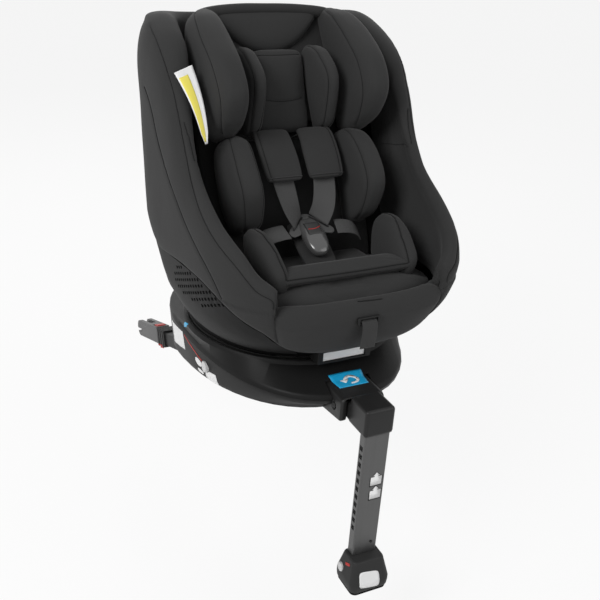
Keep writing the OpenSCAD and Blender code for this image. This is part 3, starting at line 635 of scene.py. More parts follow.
def wing_paths(y, end):
    """Outside and lining of the wing over the shell's edge; end rises to 1 at the closed, rounded ends."""
    hem, top, wide = hem_z(y), rim_z(y), wing_roll(y)
    tuck, fill = 2.6 * end, 11 * min(2 * end, 1)
    wall = top - RIM_DROP
    foot = min(wall, max(218, 520 + 1.73 * (y - 200)))
    outer = [(-6.5, hem + 2), (-4, hem - 0.4), (-1.2 - tuck, hem + 0.8), (-tuck, hem + 6)]
    rise = [hem + (wall - hem) * k / 5 for k in range(1, 6)]
    outer += [(-tuck, z) for z in rise]
    outer += [(-1 - tuck, top - 14), (-5 - tuck, top + 2 - tuck), (-13 * wide, top + 9 - 2 * tuck),
              (-21 * wide, top + 5 - 2 * tuck), (-26 * wide + tuck, top - 6 - tuck)]
    for z in np.linspace(top - 24, foot, 9):
        low = min((top - 24 - z) / 50, 1)
        outer.append((-27 * wide * (1 - low) + pad_face(y, z) * low + tuck, z))
    o, i = -COVER_T - 4.5 * end, -COVER_T - SHELL_T - 5 + 4.5 * end
    lining = [(o + 1, hem + 3), (o, hem + 7)] + [(o, z) for z in rise]
    lining += [(o, top - 20 - fill), (o - 0.4, top - 12 - fill), ((o * 2 + i) / 3, top - 11.2 - fill),
               ((o + i * 2) / 3, top - 11.2 - fill), (i + 0.4, top - 12 - fill), (i, top - 30), (i, foot)]
    return outer, lining


def cover_column(angle, path, count, top, side=1):
    """Points up a cover at one plan angle, through steps of (offset, height)."""
    points = []
    for off, z in spline(path, count):
        x, y, _ = plan_point(angle, min(z, top), off)
        points.append((side * x, y, z))
    return points


def ridge_seam():
    """The long seam just outside a wing's ridge, down to the front corner."""
    line = []
    for y in np.linspace(150, -206, 24):
        low = min(max((30 - y) / 130, 0), 1)
        z = rim_z(y) + 1 - 9 * low * low * (3 - 2 * low)
        line.append(plan_point(side_angle(y), min(z, rim_z(y)), -4.5 + 3 * low)[:2] + (z,))
    return [*line, (153, -217, 250), (150, -220, 236)]


WING_SEAMS = [
    ridge_seam(),
    [(216, 200, 491), (222, 134, 458), (222, 82, 390), (221, -17, 316), (218, -83, 284), (216, -111, 271),
     (211, -138, 253), (206, -152, 232)],
    [(202, 24, 450), (194, 2, 428), (181, -26, 414)],
    [(180, 72, 376), (178, 30, 386), (180, -8, 393)],
]


def even_angles(first, last, count):
    """Plan angles in even steps along the outline, also where it turns flat behind."""
    flat = math.radians(80)
    dense = np.concatenate([np.linspace(first, min(flat, last), 500),
                            math.pi / 2 - np.geomspace(math.pi / 2 - flat, math.pi / 2 - last, 300)[1:]])
    outline = np.array([plan_point(a, HIP_Z, 0)[:2] for a in dense])
    along = lengths(outline)
    return np.interp(np.linspace(0, along[-1], count), along, dense)


def wing_cover(side, word):
    """A wing's cover with the pad of its inside, from the front corner to the middle of the back."""
    columns, rows, end_round = 160, 130, 1.6
    outer, inner = [], []
    for i, angle in enumerate(even_angles(side_angle(WING_FRONT), WING_REAR, columns)):
        end = max(math.exp(-i / end_round), 0.25 * math.exp((i + 1 - columns) / end_round))
        y = plan_point(angle, HIP_Z, 0)[1]
        path, lining = wing_paths(y, end)
        outer.append(cover_column(angle, path, rows, rim_z(y), side))
        inner.append(cover_column(angle, lining, rows, rim_z(y), side))
    obj = slab("wing_cover_" + word, outer, inner, FABRIC)
    rumple(obj, 0.8, 70, side)
    sew(obj, [mirrored(line, side) for line in WING_SEAMS], depth=1.8, width=3.2)
    finish_pad(obj, "seat", ["wing_cover_" + word, "wing_pad_" + word])


FRONT_END, FRONT_TOP, FRONT_TUCK = -213, 205, 3.4
FRONT_ROLL = [(-3, 220), (-10, 229), (-20, 231), (-28, 226), (-30, 214)]
FRONT_LINING = [(-COVER_T, 212), (-9.5, 219.8), (-14, 222.4), (-19, 222), (-22, 214)]


def front_cover():
    """The cover round the front, with a rolled upper edge; its ends run in under the wings."""
    first = side_angle(FRONT_END)
    columns, rows = 130, 50
    outer, inner = [], []
    for angle in np.linspace(first, -math.pi - first, columns):
        y = plan_point(angle, HIP_Z, 0)[1]
        tuck, low = FRONT_TUCK * min(math.exp((y + 222.5) / 3), 1), hem_z(y)
        rise = [low + (FRONT_TOP - low) * k / 3 for k in range(1, 4)]
        path = [(-6.5, low + 2), (-3, low - 0.4), (-tuck, low + 5)] + [(-tuck, z) for z in rise]
        path += [(off, z - tuck) for off, z in FRONT_ROLL]
        lining = [(-COVER_T + 1, low + 3)] + [(-COVER_T, z) for z in rise] + FRONT_LINING
        outer.append(cover_column(angle, path, rows, FRONT_TOP))
        inner.append(cover_column(angle, lining, rows, FRONT_TOP))
    obj = slab("front_cover", outer, inner, FABRIC)
    rumple(obj, 0.7, 60, 4)
    sew(obj, [[(-13, -221, 231), (8, -223, 230), (29, -223, 229)]], depth=1.6, width=2.2, thread=0.8)
    finish_pad(obj, "seat", ["front_cover"])


# Cushions and the infant insert

def grid_pad(name, top, low, cap):
    """A pad between two grids, to be swollen from its lower grid."""
    obj = slab(name, top, low, FABRIC)
    half = np.shape(top)[0] * np.shape(top)[1]
    swell(obj, range(half, 2 * half), 4.0, cap)
    return obj


def seat_cushion():
    ys = np.concatenate([np.linspace(-203, -178, 16), np.linspace(-174, -1, 36)])
    ks = np.linspace(-1, 1, 61)
    top, low = [], []
    for y in ys:
        half = min(186, wall_x(y, 176, -COVER_T - SHELL_T - 5.6))
        top.append([(half * k, y, pan_at(y) + 2.3 + cushion_h(y) * (1 - 0.45 * abs(k) ** 6)) for k in ks])
        low.append([(half * k, y, pan_at(y) + 0.3) for k in ks])
    return grid_pad("seat_cushion", top, low, 6.0)


insert_lip = table((-169, 6), (-167, 9.5), (-155, 14.3), (-140, 18.5), (-125, 18), (-112, 11), (-98, 2.4), (-85, 0),
                   (1, 0))
insert_lift = table((-169, 10), (-160, 5), (-150, 1), (-140, 0), (1, 0))


def insert_seat():
    ys = np.concatenate([np.linspace(-169, -140, 22), np.linspace(-136, 1, 32)])
    xs = np.linspace(-112, 112, 57)
    top = [[(x, y, pan_at(y) + 13 + cushion_h(y) + insert_lip(y)) for x in xs] for y in ys]
    low = [[(x, y, pan_at(y) + 2.7 + cushion_h(y) + insert_lift(y)) for x in xs] for y in ys]
    return grid_pad("insert_seat", top, low, 5.0)


# The insert's front piping, laid with the dark seam thread: the seam plus a painted shadow line under the piping.
INSERT_PIPING_SHADE_LINE = [(x, -169.5, 254 + 2 * (x / 110) ** 2) for x in np.linspace(-106, 106, 23)]
LOBE_RIDGE = [(107, -169, 255), (111, -150, 267), (114, -128, 280), (118, -102, 294), (120, -80, 302), (118, -58, 292),
              (114, -48, 272)]


def ring_pad(name, rows, power, material, place=on_back, count=30, sides=40, dome=4.0, lean=0.0):
    rings, low, high = domed(stack_rings(rows, count, sides, power, lean), dome)
    return loft(name, rings, (low, high), material, place), rings


def ring_line(rings, angle, start, end):
    """A line along the rings at one angle, from a share of the length to another."""
    count, sides = rings.shape[:2]
    i = round(angle / 360 * sides) % sides
    return on_back(rings[int(start * (count - 1)):int(end * (count - 1)) + 1, i])


def ring_vertices(rings, angles, start=0.0, end=1.0):
    count, sides = rings.shape[:2]
    columns = [round(a / 360 * sides) % sides for a in angles]
    return [j * sides + i for j in range(int(start * (count - 1)), int(end * (count - 1)) + 1) for i in columns]


BACK_ANGLES = range(40, 141, 9)
NARROW_STRIP, WIDE_STRIP = (-128, -52), (-144, -36)
STRIP_FROM, STRIP_TO, SEAM_TO = 0.06, 0.94, 0.96


def gusseted(name, rows, power, body, nodes, seams=NARROW_STRIP, count=30, sides=40):
    """A bolster with a front strip between two seams."""
    obj, rings = ring_pad(name, rows, power, FABRIC, count=count, sides=sides)
    swell(obj, ring_vertices(rings, [*BACK_ANGLES, *seams], STRIP_FROM, STRIP_TO), 5.0, 5.0)
    return obj, [ring_line(rings, a, STRIP_FROM, SEAM_TO) for a in seams], body, nodes


# Pads as rows of (up, across, out, half across, half out), those of the sides for the right

BACK_CUSHION = [(-452, 0, 33, 120, 6), (-444, 0, 33, 142, 11.5), (-300, 0, 33, 148, 12.5), (-170, 0, 33, 144, 12.5),
                (-128, 0, 33, 138, 11), (-120, 0, 33, 116, 6)]
HEAD_CENTRE = [(-222, 0, 2, 38, 4), (-214, 0, -2, 46, 9), (-160, 0, -8, 47, 15), (-110, 0, -16, 46, 19),
               (-92, 0, -14, 44, 16), (-86, 0, -10, 36, 8)]
CROTCH_PAD = [(-48, 0, 0, 22, 2.5), (-43, 0, 0, 29, 4.5), (0, 0, 0, 30, 5.2), (40, 0, 0, 28, 4.5), (44, 0, 0, 20, 2.5)]
BOLSTER = [(-388, 104, -12, 14, 24), (-379, 106, -24, 22, 42), (-340, 111, -39, 27, 60), (-292, 112, -36, 27, 57),
           (-250, 109, -26, 24, 45), (-234, 106, -16, 14, 28)]
HEAD_WING = [(-232, HEAD_HALF - 4, -36, 15, 34), (-222, HEAD_HALF - 2, -45, 23, 55), (-190, HEAD_HALF, -60, 28, 74),
             (-140, HEAD_HALF + 2, -58, 29, 72), (-84, HEAD_HALF + 2, -42, 29, 54), (-44, HEAD_HALF - 1, -26, 25, 38),
             (-26, HEAD_HALF - 5, -15, 19, 26), (-18, HEAD_HALF - 9, -11, 11, 15)]
HEAD_BOLSTER = [(-226, 66, -16, 10, 14), (-216, 67, -24, 15, 28), (-160, 66, -44, 17, 50), (-112, 66, -34, 17, 40),
                (-92, 66, -24, 14, 26), (-84, 65, -18, 8, 12)]
LOBE = [(226, 112, -112, 15, 52), (238, 113, -112, 20, 57), (254, 115, -109, 21, 58), (270, 117, -98, 20, 52),
        (287, 119, -87, 17, 40), (298, 120, -81, 11, 24)]
SHOULDER_PAD = [(-316, 38, -58, 25, 3.5), (-312, 38, -58, 31, 6), (-280, 39, -52, 33, 6.5), (-246, 40, -42, 32, 6),
                (-230, 40, -33, 31, 6), (-226, 40, -31, 27, 3.5)]
CROTCH_AT = (0, -4, -14.7)
CROWN_HALF, CROWN_PUFF = 97, 13.5
BACKING_HALF, BACKING_LOW, BACKING_TOP = 114, -204, -18


def crown_pad():
    """Crown pad with an arched lower edge, as a pillow between its seams."""
    xs = np.linspace(-CROWN_HALF, CROWN_HALF, 61)
    front, back = [], []
    for x in xs:
        e = abs(x) / CROWN_HALF
        low, high = -84 + 60 * e ** 2.2, -6 - 8 * e * e
        side = (1 - e ** 12) ** 0.5
        column, rear = [], []
        for t in np.linspace(0, 1, 25):
            puffed = max(1 - abs(2 * t - 1) ** 3, 0) ** 0.6 * side
            column.append((x, 1 - CROWN_PUFF * puffed, low + (high - low) * t))
            rear.append((x, 4, low + (high - low) * t))
        front.append(column)
        back.append(rear)
    return grid_pad("crown_pad", on_back(front), on_back(back), 4.0)


RIM_HALF = [(0, -5, -10), (50, -6, -11), (97, -8, -16), (118, -13, -24), (133, -26, -46), (141, -40, -76)]
RIM_R, RIM_STEPS = 9.2, 120


def headrest_rim():
    """The roll along the headrest's upper edge, from wing to wing."""
    half = np.array(RIM_HALF, float)
    path = spline(np.concatenate([half[:0:-1] * (-1, 1, 1), half]), RIM_STEPS)
    radius = RIM_R * np.maximum(1 - np.linspace(-1, 1, RIM_STEPS) ** 10, 0.02) ** 0.5
    obj = solid("headrest_rim", *tube(on_back(path), radius, 20), FABRIC)
    rumple(obj, 0.5, 40, 6)
    finish_pad(obj, "headrest", [])


def head_backing():
    """Cloth panel over the headrest's back plate."""
    xs, us = np.linspace(-BACKING_HALF, BACKING_HALF, 31), np.linspace(BACKING_LOW, BACKING_TOP, 31)
    front = [[(x, 4.2 - 0.8 * (1 - (x / BACKING_HALF) ** 4), u) for u in us] for x in xs]
    back = [[(x, 7.6, u) for u in us] for x in xs]
    finish_pad(slab("head_backing", on_back(front), on_back(back), LINER), "headrest", [])


# Webbing

def webbing(name, points, across, steps=60, width=STRAP_W, material=None, last=None):
    """A flat strap through points, with rounded edges and UVs in millimetres; it may turn to another way across."""
    ease = np.linspace(0, 1, steps)[:, None] ** 4
    across = (1 - ease) * np.array(across, float) + ease * np.array(across if last is None else last, float)
    across = unit(across)
    line = spline(points, steps)
    out = unit(np.cross(np.gradient(line, axis=0), across))
    shares = np.array([-1, -0.985, -0.94, -0.8, -0.4, 0, 0.4, 0.8, 0.94, 0.985, 1])
    thick = np.array([0.25, 0.7, 0.95, 1, 1, 1, 1, 1, 0.95, 0.7, 0.25]) * STRAP_T / 2
    offset = shares[None, :, None] * across[:, None] * width / 2
    top = line[:, None] + offset + out[:, None] * thick[None, :, None]
    low = line[:, None] + offset - out[:, None] * thick[None, :, None]
    uv = np.stack(np.broadcast_arrays(shares[None, :] * width / 2, lengths(line)[:, None]), -1)
    return slab(name, top, low, material or WEBBING, uv)


STRAP_END = (19.0, -17.5, 282.0)
STRAP_REST = (39, -39.6, -270)
STRAP_ROUTE = [(40, 19.6, -230), (40, -4, -230), (40, -26, -238), STRAP_REST, (37, -48.6, -318), (30, -47.5, -358)]
SLOT_WAY = (0.593, -0.718, -0.366)
LAP_W = 32.0
LAP_ROUTE = [(45, -33, 272.7), (58, -33, 272), (74, -31, 268), (86, -29, 261), (94, -27, 252)]
PULL_ROUTE = [(0, -233.6, 204), (0, -240, 202), (0, -243, 190), (0, -242, 172), (0, -240, 158)]


# Build

for material, names in NODE_MATERIALS.items():
    for name in names:
        mesh = NODES[name].data
        mesh.materials.clear()
        mesh.materials.append(material)

for side, word in SIDES:
    wing_cover(side, word)
front_cover()

cushion = seat_cushion()
insert = insert_seat()
crown = crown_pad()
back, _ = ring_pad("back_cushion", BACK_CUSHION, 5, LINER, count=40, sides=64, dome=1.0)
centre, centre_rings = ring_pad("head_centre_pad", HEAD_CENTRE, 4, FABRIC, dome=2.0)
swell(centre, ring_vertices(centre_rings, BACK_ANGLES), 4.0, 3.0)

gussets = []
for side, word in SIDES:
    gussets.append(gusseted("insert_bolster_" + word, mirrored(BOLSTER, side, 1), 2.6, "seat",
                            ["insert_bolster_" + word]))
    gussets.append(gusseted("headrest_wing_" + word, mirrored(HEAD_WING, side, 1), 3, "headrest",
                            ["headrest_wing_" + word], WIDE_STRIP, 44, 60))
    gussets.append(gusseted("head_bolster_" + word, mirrored(HEAD_BOLSTER, side, 1), 2.4, "headrest", []))

lobes = []
for side, word in SIDES:
    lobe, lobe_rings = ring_pad("insert_lobe_" + word, mirrored(LOBE, side, 1), 2.6, FABRIC, place=lambda p: p,
                                dome=5.0, lean=-0.1)
    swell(lobe, ring_vertices(lobe_rings, range(0, 360, 9), 0, 0.12), 4.0, 4.0)
    lobes.append((lobe, side))

shoulder_pads = []
for side, word in SIDES:
    pad, pad_rings = ring_pad("shoulder_pad_" + word, mirrored(SHOULDER_PAD, side, 1), 3, FABRIC, sides=48, dome=1.5)
    swell(pad, ring_vertices(pad_rings, BACK_ANGLES), 3.0, 2.0)
    shoulder_pads.append((pad, pad_rings, side))

crotch, _ = ring_pad("crotch_pad", CROTCH_PAD, 3, FABRIC, sides=44, dome=1.5,
                     place=lambda p: at_buckle(p[..., [0, 2, 1]] * [1, -1, 1] + CROTCH_AT))

run_cloth()

CENTRE_SEAMS = [on_back([(x, -34, -97 - 3 * (1 - (x / 40) ** 2)) for x in np.linspace(-40, 40, 11)]),
                on_back([(x, -24, -170 - 6 * (1 - (x / 40) ** 2)) for x in np.linspace(-40, 40, 11)])]
for obj, body, nodes, fill, lines in (
        (cushion, "seat", ["seat_cushion"], 0.75, []), (insert, "seat", ["insert_seat"], 0.7, []),
        (crown, "headrest", ["headrest_pads"], 0.75, []), (back, "seat", ["back_cushion"], 0.6, []),
        (centre, "headrest", [], 0.7, CENTRE_SEAMS), (crotch, "seat", ["crotch_pad"], 0.5, [])):
    finer(obj)
    if lines:
        sew(obj, lines, depth=1.6)
    finish_pad(obj, body, nodes)
# Dark thread along the insert's piping: painted shadow line with the seam.
sew(insert, [INSERT_PIPING_SHADE_LINE], depth=1.2, width=3, thread=0.9)

for obj, lines, body, nodes in gussets:
    finer(obj)
    sew(obj, lines, depth=1.8, width=2.8)
    finish_pad(obj, body, nodes)

for obj, side in lobes:
    finer(obj)
    sew(obj, [mirrored(LOBE_RIDGE, side)], depth=1.2, width=3, thread=0.9)
    finish_pad(obj, "seat", [])

for obj, rings, side in shoulder_pads:
    finer(obj)
    sew(obj, [ring_line(rings, -90 + side * 42, 0.12, 0.95)], depth=1.0, width=2.4)
    edge = on_back([(side * 38 + 29 * math.sin(a), -58 - 7 * math.cos(a), -311) for a in np.linspace(-1.4, 1.4, 15)])
    trim = sew(obj, [edge], depth=0.4, width=3, thread=1.1, material=PIPING)
    trim.name = obj.name + "_piping"
    finish_pad(obj, "headrest", ["shoulder_pads"])

headrest_rim()
head_backing()

for side, word in SIDES:
    end = mirrored([STRAP_END], side)
    route = np.concatenate([on_back(mirrored(STRAP_ROUTE, side)), end])
    strap = webbing("shoulder_strap_" + word, route, (1, 0, 0), last=np.multiply(SLOT_WAY, (1, side, side)))
    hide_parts("shoulder_straps")
    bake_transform(strap)
    lap = webbing("lap_strap_" + word, mirrored(LAP_ROUTE, side), (side * 0.15, 0.9, 0.4), 30, LAP_W)
    finish_piece(lap, "seat", ["lower_straps"])
pull = webbing("adjuster_strap", PULL_ROUTE, (1, 0, 0), 30, PULL_W, PULL)
finish_piece(pull, "seat", ["adjuster_strap"])


# Details of the leg, foot, side panels and buckle; stickers and tag

def combine(obj, other, operation):
    """Makes a boolean with another object part of the mesh."""
    part = obj.modifiers.new("combine", "BOOLEAN")
    part.object = other
    part.operation = operation
    part.solver = "EXACT"
    bake(obj)


def cut(obj, cutters):
    """Takes the cutters out of a mesh object."""
    combine(obj, cutters, "DIFFERENCE")
    bpy.data.objects.remove(cutters)


WELD_GAP = 0.00002
FLAT_ANGLE, SHARP_ANGLE = math.radians(0.4), math.radians(38)
FREE_WIDTH = 0.002


def weld(obj):
    obj.modifiers.new("weld", "WELD").merge_threshold = WELD_GAP


def rounded_edges(obj, width=0.0008):
    """Rounds sharp edges by a width in metres; from FREE_WIDTH up, short edges don't hold it back."""
    weld(obj)
    flat = obj.modifiers.new("flat", "DECIMATE")
    flat.decimate_type = "DISSOLVE"
    flat.angle_limit = FLAT_ANGLE
    edge = obj.modifiers.new("edge", "BEVEL")
    edge.width = width
    edge.segments = 3
    edge.use_clamp_overlap = width < FREE_WIDTH
    edge.angle_limit = SHARP_ANGLE
    obj.modifiers.new("normals", "WEIGHTED_NORMAL")


def prism(ring, shift):
    """Points and faces of a prism from a ring of points."""
    n = len(ring)
    ring = np.asarray(ring, float)
    faces = [tuple(range(n)), tuple(reversed(range(n, 2 * n)))]
    faces += [((i + 1) % n, i, n + i, n + (i + 1) % n) for i in range(n)]
    return np.concatenate([ring, ring + shift]), faces


ARM_HALF, ARM_EYE, ARM_EDGE = 26, 16, 0.006
ARM_HINGE = (-222, 52)
FOOT_EDGE = 0.003


def leg_arm():
    """The leg's arm with soft edges."""
    y, z = ARM_HINGE
    eye = [(y + ARM_EYE * math.sin(a), z + ARM_EYE * math.cos(a)) for a in np.linspace(0, math.pi, 13)]
    outline = [(-301, 34), (-301, 83), (-248, 82), (-247, 68), *eye, (-246, 36), (-252, 34)]
    arm = solid("leg_arm_skin", *prism([(-ARM_HALF, *p) for p in outline], (2 * ARM_HALF, 0, 0)), ARM)
    rounded_edges(arm, ARM_EDGE)
    finish_piece(arm, "leg", ["leg_arm"])


def foot_skin():
    """The foot's housing with soft outer edges: the node within its own rounded hull."""
    node = NODES["foot_housing"]
    hull = bmesh.new()
    for corner in node.data.vertices:
        hull.verts.new(node.matrix_world @ corner.co)
    bmesh.ops.convex_hull(hull, input=hull.verts)
    bmesh.ops.delete(hull, geom=[v for v in hull.verts if not v.link_faces], context="VERTS")
    mesh = bpy.data.meshes.new("foot_skin")
    hull.to_mesh(mesh)
    hull.free()
    mesh.shade_smooth()
    mesh.materials.append(FOOT)
    skin = linked("foot_skin", mesh)
    rounded_edges(skin, FOOT_EDGE)
    rounded_edges(node)
    combine(skin, node, "INTERSECT")
    skin.modifiers.new("normals", "WEIGHTED_NORMAL")
    finish_piece(skin, "foot", ["foot_housing"])


VENT_ROWS = [((13, 214.6), (-74, 252)), ((30, 195.8), (-84, 245.4)), ((30, 184), (-112, 247.2)),
             ((19, 176.9), (-126, 242.9)), ((-4, 175.5), (-149, 242.6)), ((-45, 182.3), (-167, 239.5)),
             ((-84, 189.2), (-184, 236.9))]
VENT_PITCH, VENT_LONG, VENT_HIGH, VENT_MARGIN = 11.4, 4.1, 2.9, 5.5
VENT_FROM, VENT_DEEP = 196, 40


def vented_panel(name, side):
    """The CAD panel with its rows of small slots cut through."""
    panel = linked(name + "_vented", NODES[name].data.copy())
    weld(panel)
    slots = []
    for (y0, z0), (y1, z1) in VENT_ROWS:
        count = int(math.hypot(y1 - y0, z1 - z0) / VENT_PITCH) + 1
        tilt = math.atan2(z1 - z0, y1 - y0)
        for y, z in zip(np.linspace(y0, y1, count), np.linspace(z0, z1, count)):
            if z > hem_z(y) - VENT_MARGIN:
                continue
            ring = []
            for a in around(12):
                p, q = VENT_LONG * math.cos(a), VENT_HIGH * math.sin(a)
                ring.append((side * VENT_FROM, y + p * math.cos(tilt) - q * math.sin(tilt),
                             z + p * math.sin(tilt) + q * math.cos(tilt)))
            slots.append(prism(ring, (side * VENT_DEEP, 0, 0)))
    cut(panel, merged("slots", slots, DARK))
    panel.data.shade_smooth()
    rounded_edges(panel, 0.0005)
    finish_piece(panel, "seat", [name])


BUCKLE_ROWS = [(-38, 0, 0.5, 7, 4), (-35, 0, 0.5, 12, 7), (-28, 0, 1, 16.5, 9.6), (-16, 0, 1.5, 19.6, 11),
               (0, 0, 2, 20.6, 11.4), (16, 0, 1.5, 19.6, 10.8), (28, 0, 0.5, 17.2, 9.4), (35, 0, 0, 13.5, 7.4),
               (37, 0, 0, 10, 5)]
BUCKLE_UP = np.array(Matrix.Rotation(BUCKLE_TILT, 3, "X") @ Vector((0, 0, 1)))
BUTTON_HALF, BUTTON_Y, BUTTON_LOW, BUTTON_TOP, BUTTON_GAP = 13, 9, 9.2, 13.2, 0.3
POCKET_LOW, POCKET_HIGH = 4, 24


def button_crown(x):
    return BUTTON_TOP - 0.5 * (x / BUTTON_HALF) ** 2


def buckle():
    """Egg-shaped housing with a pocket for the press button, and the button with its curved line."""
    rings, low, high = domed(stack_rings(BUCKLE_ROWS, 36, 48, 2.5), 1.2)
    case = loft("buckle_case", rings, (low, high), GLOSS, lambda p: at_buckle(p[..., [0, 2, 1]]))
    reach = BUTTON_HALF + BUTTON_GAP
    corners = [(x * reach, BUTTON_Y + y * reach, POCKET_LOW) for x, y in ((-1, -1), (1, -1), (1, 1), (-1, 1))]
    pocket = prism(at_buckle(corners), BUCKLE_UP * (POCKET_HIGH - POCKET_LOW))
    cut(case, solid("pocket", *pocket, GLOSS))
    case.data.shade_smooth()
    rounded_edges(case)
    finish_piece(case, "seat", ["buckle"])
    steps = np.linspace(-BUTTON_HALF, BUTTON_HALF, 21)
    top, base = [], []
    for x in steps:
        edges = [max(abs(x), abs(y)) / BUTTON_HALF for y in steps]
        top.append([(x, BUTTON_Y + y, button_crown(x) - 1.2 * e ** 14) for y, e in zip(steps, edges)])
        base.append([(x, BUTTON_Y + y, BUTTON_LOW) for y in steps])
    button = slab("buckle_press", at_buckle(top), at_buckle(base), BUTTON)
    finish_piece(button, "buckle_button", ["buckle_button"])
    line = [(x, 7 + 0.02 * (x + 3) ** 2, button_crown(x) + 0.05) for x in np.linspace(-10, 12, 15)]
    mark = solid("buckle_line", *tube(at_buckle(line), 0.7), RED)
    finish_piece(mark, "buckle_button")


TONGUE_SHAPE = [(0, 49), (7, 48), (37, 18), (41, 12), (40, 5), (34, 2), (22, 5), (12, 20), (0, 30)]
# Outline of the dark plate for the strap's slot: painted shade of the opening.
TONGUE_SLOT_SHADE = [(7, 42.5), (33.5, 15.5), (31.5, 13.5), (5, 40.5)]
TONGUE_T = 3.2


def tongues():
    """Two plates that meet above the buckle, with a slot for the strap along each upper edge, drawn as a thin dark
    plate: painted shade of the opening, no hole is cut.
    """
    for side, word in SIDES:
        for name, shape, low, thick, material, nodes in (
                ("tongue_", TONGUE_SHAPE, 0.8, TONGUE_T, TONGUE, ["buckle_tongues"]),
                ("tongue_slot_shade_", TONGUE_SLOT_SHADE, 3.2, 0.4 * TONGUE_T, DARK, [])):
            ring = at_buckle([(side * x, y, low) for x, y in shape])
            plate = solid(name + word, *prism(ring, BUCKLE_UP * thick), material)
            if nodes:
                rounded_edges(plate)
            finish_piece(plate, "seat", nodes)


DECAL_HALF_T, DECAL_REACH = 0.5, 60


def decal(name, body, node, corners, direction, material, slot="button_plastic", inset=None, size=(12, 12)):
    """A thin sticker laid on CAD nodes: a four-cornered patch, or a rounded one where inset is given."""
    grounds = [surface(NODES[n]) for n in node.split()]
    ray = Vector(direction).normalized()
    top, low = [], []
    for v in np.linspace(0, 1, size[1]):
        line, under = [], []
        for u in np.linspace(0, 1, size[0]):
            p = Vector(patch_point(corners, *((u, v) if inset is None else squircle(u, v, inset))))
            hits = [ground.ray_cast(p - ray * DECAL_REACH, ray) for ground in grounds]
            spot = min((h for h in hits if h[0]), key=lambda h: h[3], default=[p])[0]
            line.append(spot - ray * DECAL_HALF_T)
            under.append(spot + ray * DECAL_HALF_T)
        top.append(line)
        low.append(under)
    obj = slab(name, top, low, material)
    finish_piece(obj, body)
    return obj


def squircle(u, v, inset):
    """A point of the unit square moved into a rounded square."""
    x, y = 2 * u - 1, 2 * v - 1
    long = max(abs(x), abs(y), 1e-9)
    reach = long / (abs(x) ** inset + abs(y) ** inset) ** (1 / inset) if long > 1e-6 else 1
    return 0.5 + x * reach / 2, 0.5 + y * reach / 2


def turn_arrow(label):
    """A plain curved arrow on the blue label."""
    ground = surface(label)
    centre, outer, inner = np.array((3.0, -199.0)), 10.5, 6.5
    sweep = np.radians(np.linspace(165, -110, 34))
    ring = []
    for radius, angles in ((outer, sweep), (inner, sweep[::-1])):
        ring += [centre + radius * np.array((1.3 * math.cos(a), math.sin(a))) for a in angles]
    tip = centre + np.array((-1.3 * (outer + inner) / 2, 2.0))
    head = [tip + (-8, 1), tip + (8, 2), tip + (-1, -8)]
    shapes = []
    for outline in (ring, head):
        laid = [ground.ray_cast(Vector((x, y, 140)), Vector((0, 0, -1)))[0] for x, y in outline]
        shapes.append(prism(np.array(laid) - (0, 0, 0.2), (0, 0, 0.8)))
    finish_piece(merged("turn_arrow", shapes, WHITE), "base")


LEG_MARK = np.array([(-10, -8), (10, -8), (10, 8), (3.5, 8), (3.5, 10), (6, 10), (0, 16), (-6, 10), (-3.5, 10),
                     (-3.5, 8), (-10, 8)])
LEG_FRONT = -297.9


def leg_mark(name, x, z):
    """A blank sticker in the shape of an upright arrow, with a dark edge, on the leg tube's front."""
    for end, shape, thick, material, slot in (("_edge", 1.15 * LEG_MARK - (0, 1), 0.3, DARK, "base_plastic"),
                                              ("", LEG_MARK, 0.6, WHITE, "button_plastic")):
        ring = [(x + p, LEG_FRONT, z + q) for p, q in shape]
        finish_piece(solid(name + end, *prism(ring, (0, -thick, 0)), material), "leg")


TAG_CORNERS = [(-205, 63.6, 515.3), (-174, 69.7, 525.2), (-164, 17, 416), (-172, 17.7, 413.4)]
TAG_BOW, TAG_RIPPLE = 12, 0.6
TAG_TAPER = 0.86


def wing_tag():
    """The blank tag hanging inside the left wing: white cloth with a yellow field."""
    a, b, _, d = np.array(TAG_CORNERS, float)
    out = unit(np.cross(d - a, b - a))

    def patch(name, across, along, lift, thick, material):
        rows = []
        for v in np.linspace(*along, 31):
            row = []
            for u in np.linspace(*across, 9):
                w = 0.5 + (u - 0.5) * (1 - 0.5 * max(v - TAG_TAPER, 0) / (1 - TAG_TAPER))
                bow = TAG_BOW * math.sin(math.pi * v) + TAG_RIPPLE * math.sin(2.2 * math.pi * u)
                row.append(patch_point(TAG_CORNERS, w, v) + out * bow)
            rows.append(row)
        obj = slab(name, rows + out * (lift + thick), rows + out * lift, material)
        finish_piece(obj, "seat")
        return obj

    tag = patch("wing_tag", (0, 1), (0, 1), 0, 0.4, WHITE)
    field = patch("wing_tag_field", (0.08, 0.62), (0.09, 0.97), 0.4, 0.15, YELLOW)


for side, word in SIDES:
    vented_panel("side_panel_" + word, side)
leg_arm()
foot_skin()
buckle()
tongues()
wing_tag()

ACROSS, BACKWARD, DOWN = (1, 0, 0), (0, 1, 0), (0, 0, -1)
OVAL = {"inset": 2.4}
SIDE_DECALS = [
    ("side_label", "base_tray", [(-181, 149, 44), (-184, 79, 56), (-181, 73, 22), (-178, 141, 4)], WHITE, {}),
    ("side_line", "base_tray", [(-184, 70, 55), (-179, 0, 39), (-179, 0, 37), (-184, 70, 53)], RED,
     {"slot": "release_red", "size": (20, 4)}),
    ("side_oval", "base_tray", [(-178, 26, 35), (-175, 3, 35), (-175, 3, 21), (-178, 26, 21)], WHITE, OVAL),
    ("side_oval_low", "base_tray", [(-178, 20, 15), (-175, 0, 15), (-175, 0, 8), (-178, 20, 8)], WHITE, OVAL),
    ("side_sticker", "base_tray", [(-170, -8, 25), (-168, -42, 31), (-168, -42, 9), (-170, -8, 5)], WHITE, {}),
    ("side_mark", "base_cover", [(-188, 52, 90), (-188, 35, 94), (-186, 50, 80), (-186, 74, 68)], BLUE, {}),
]
ANCHOR_WINDOW = [(154, 304, -92), (154, 283, -84), (154, 285, -94), (154, 306, -103)]

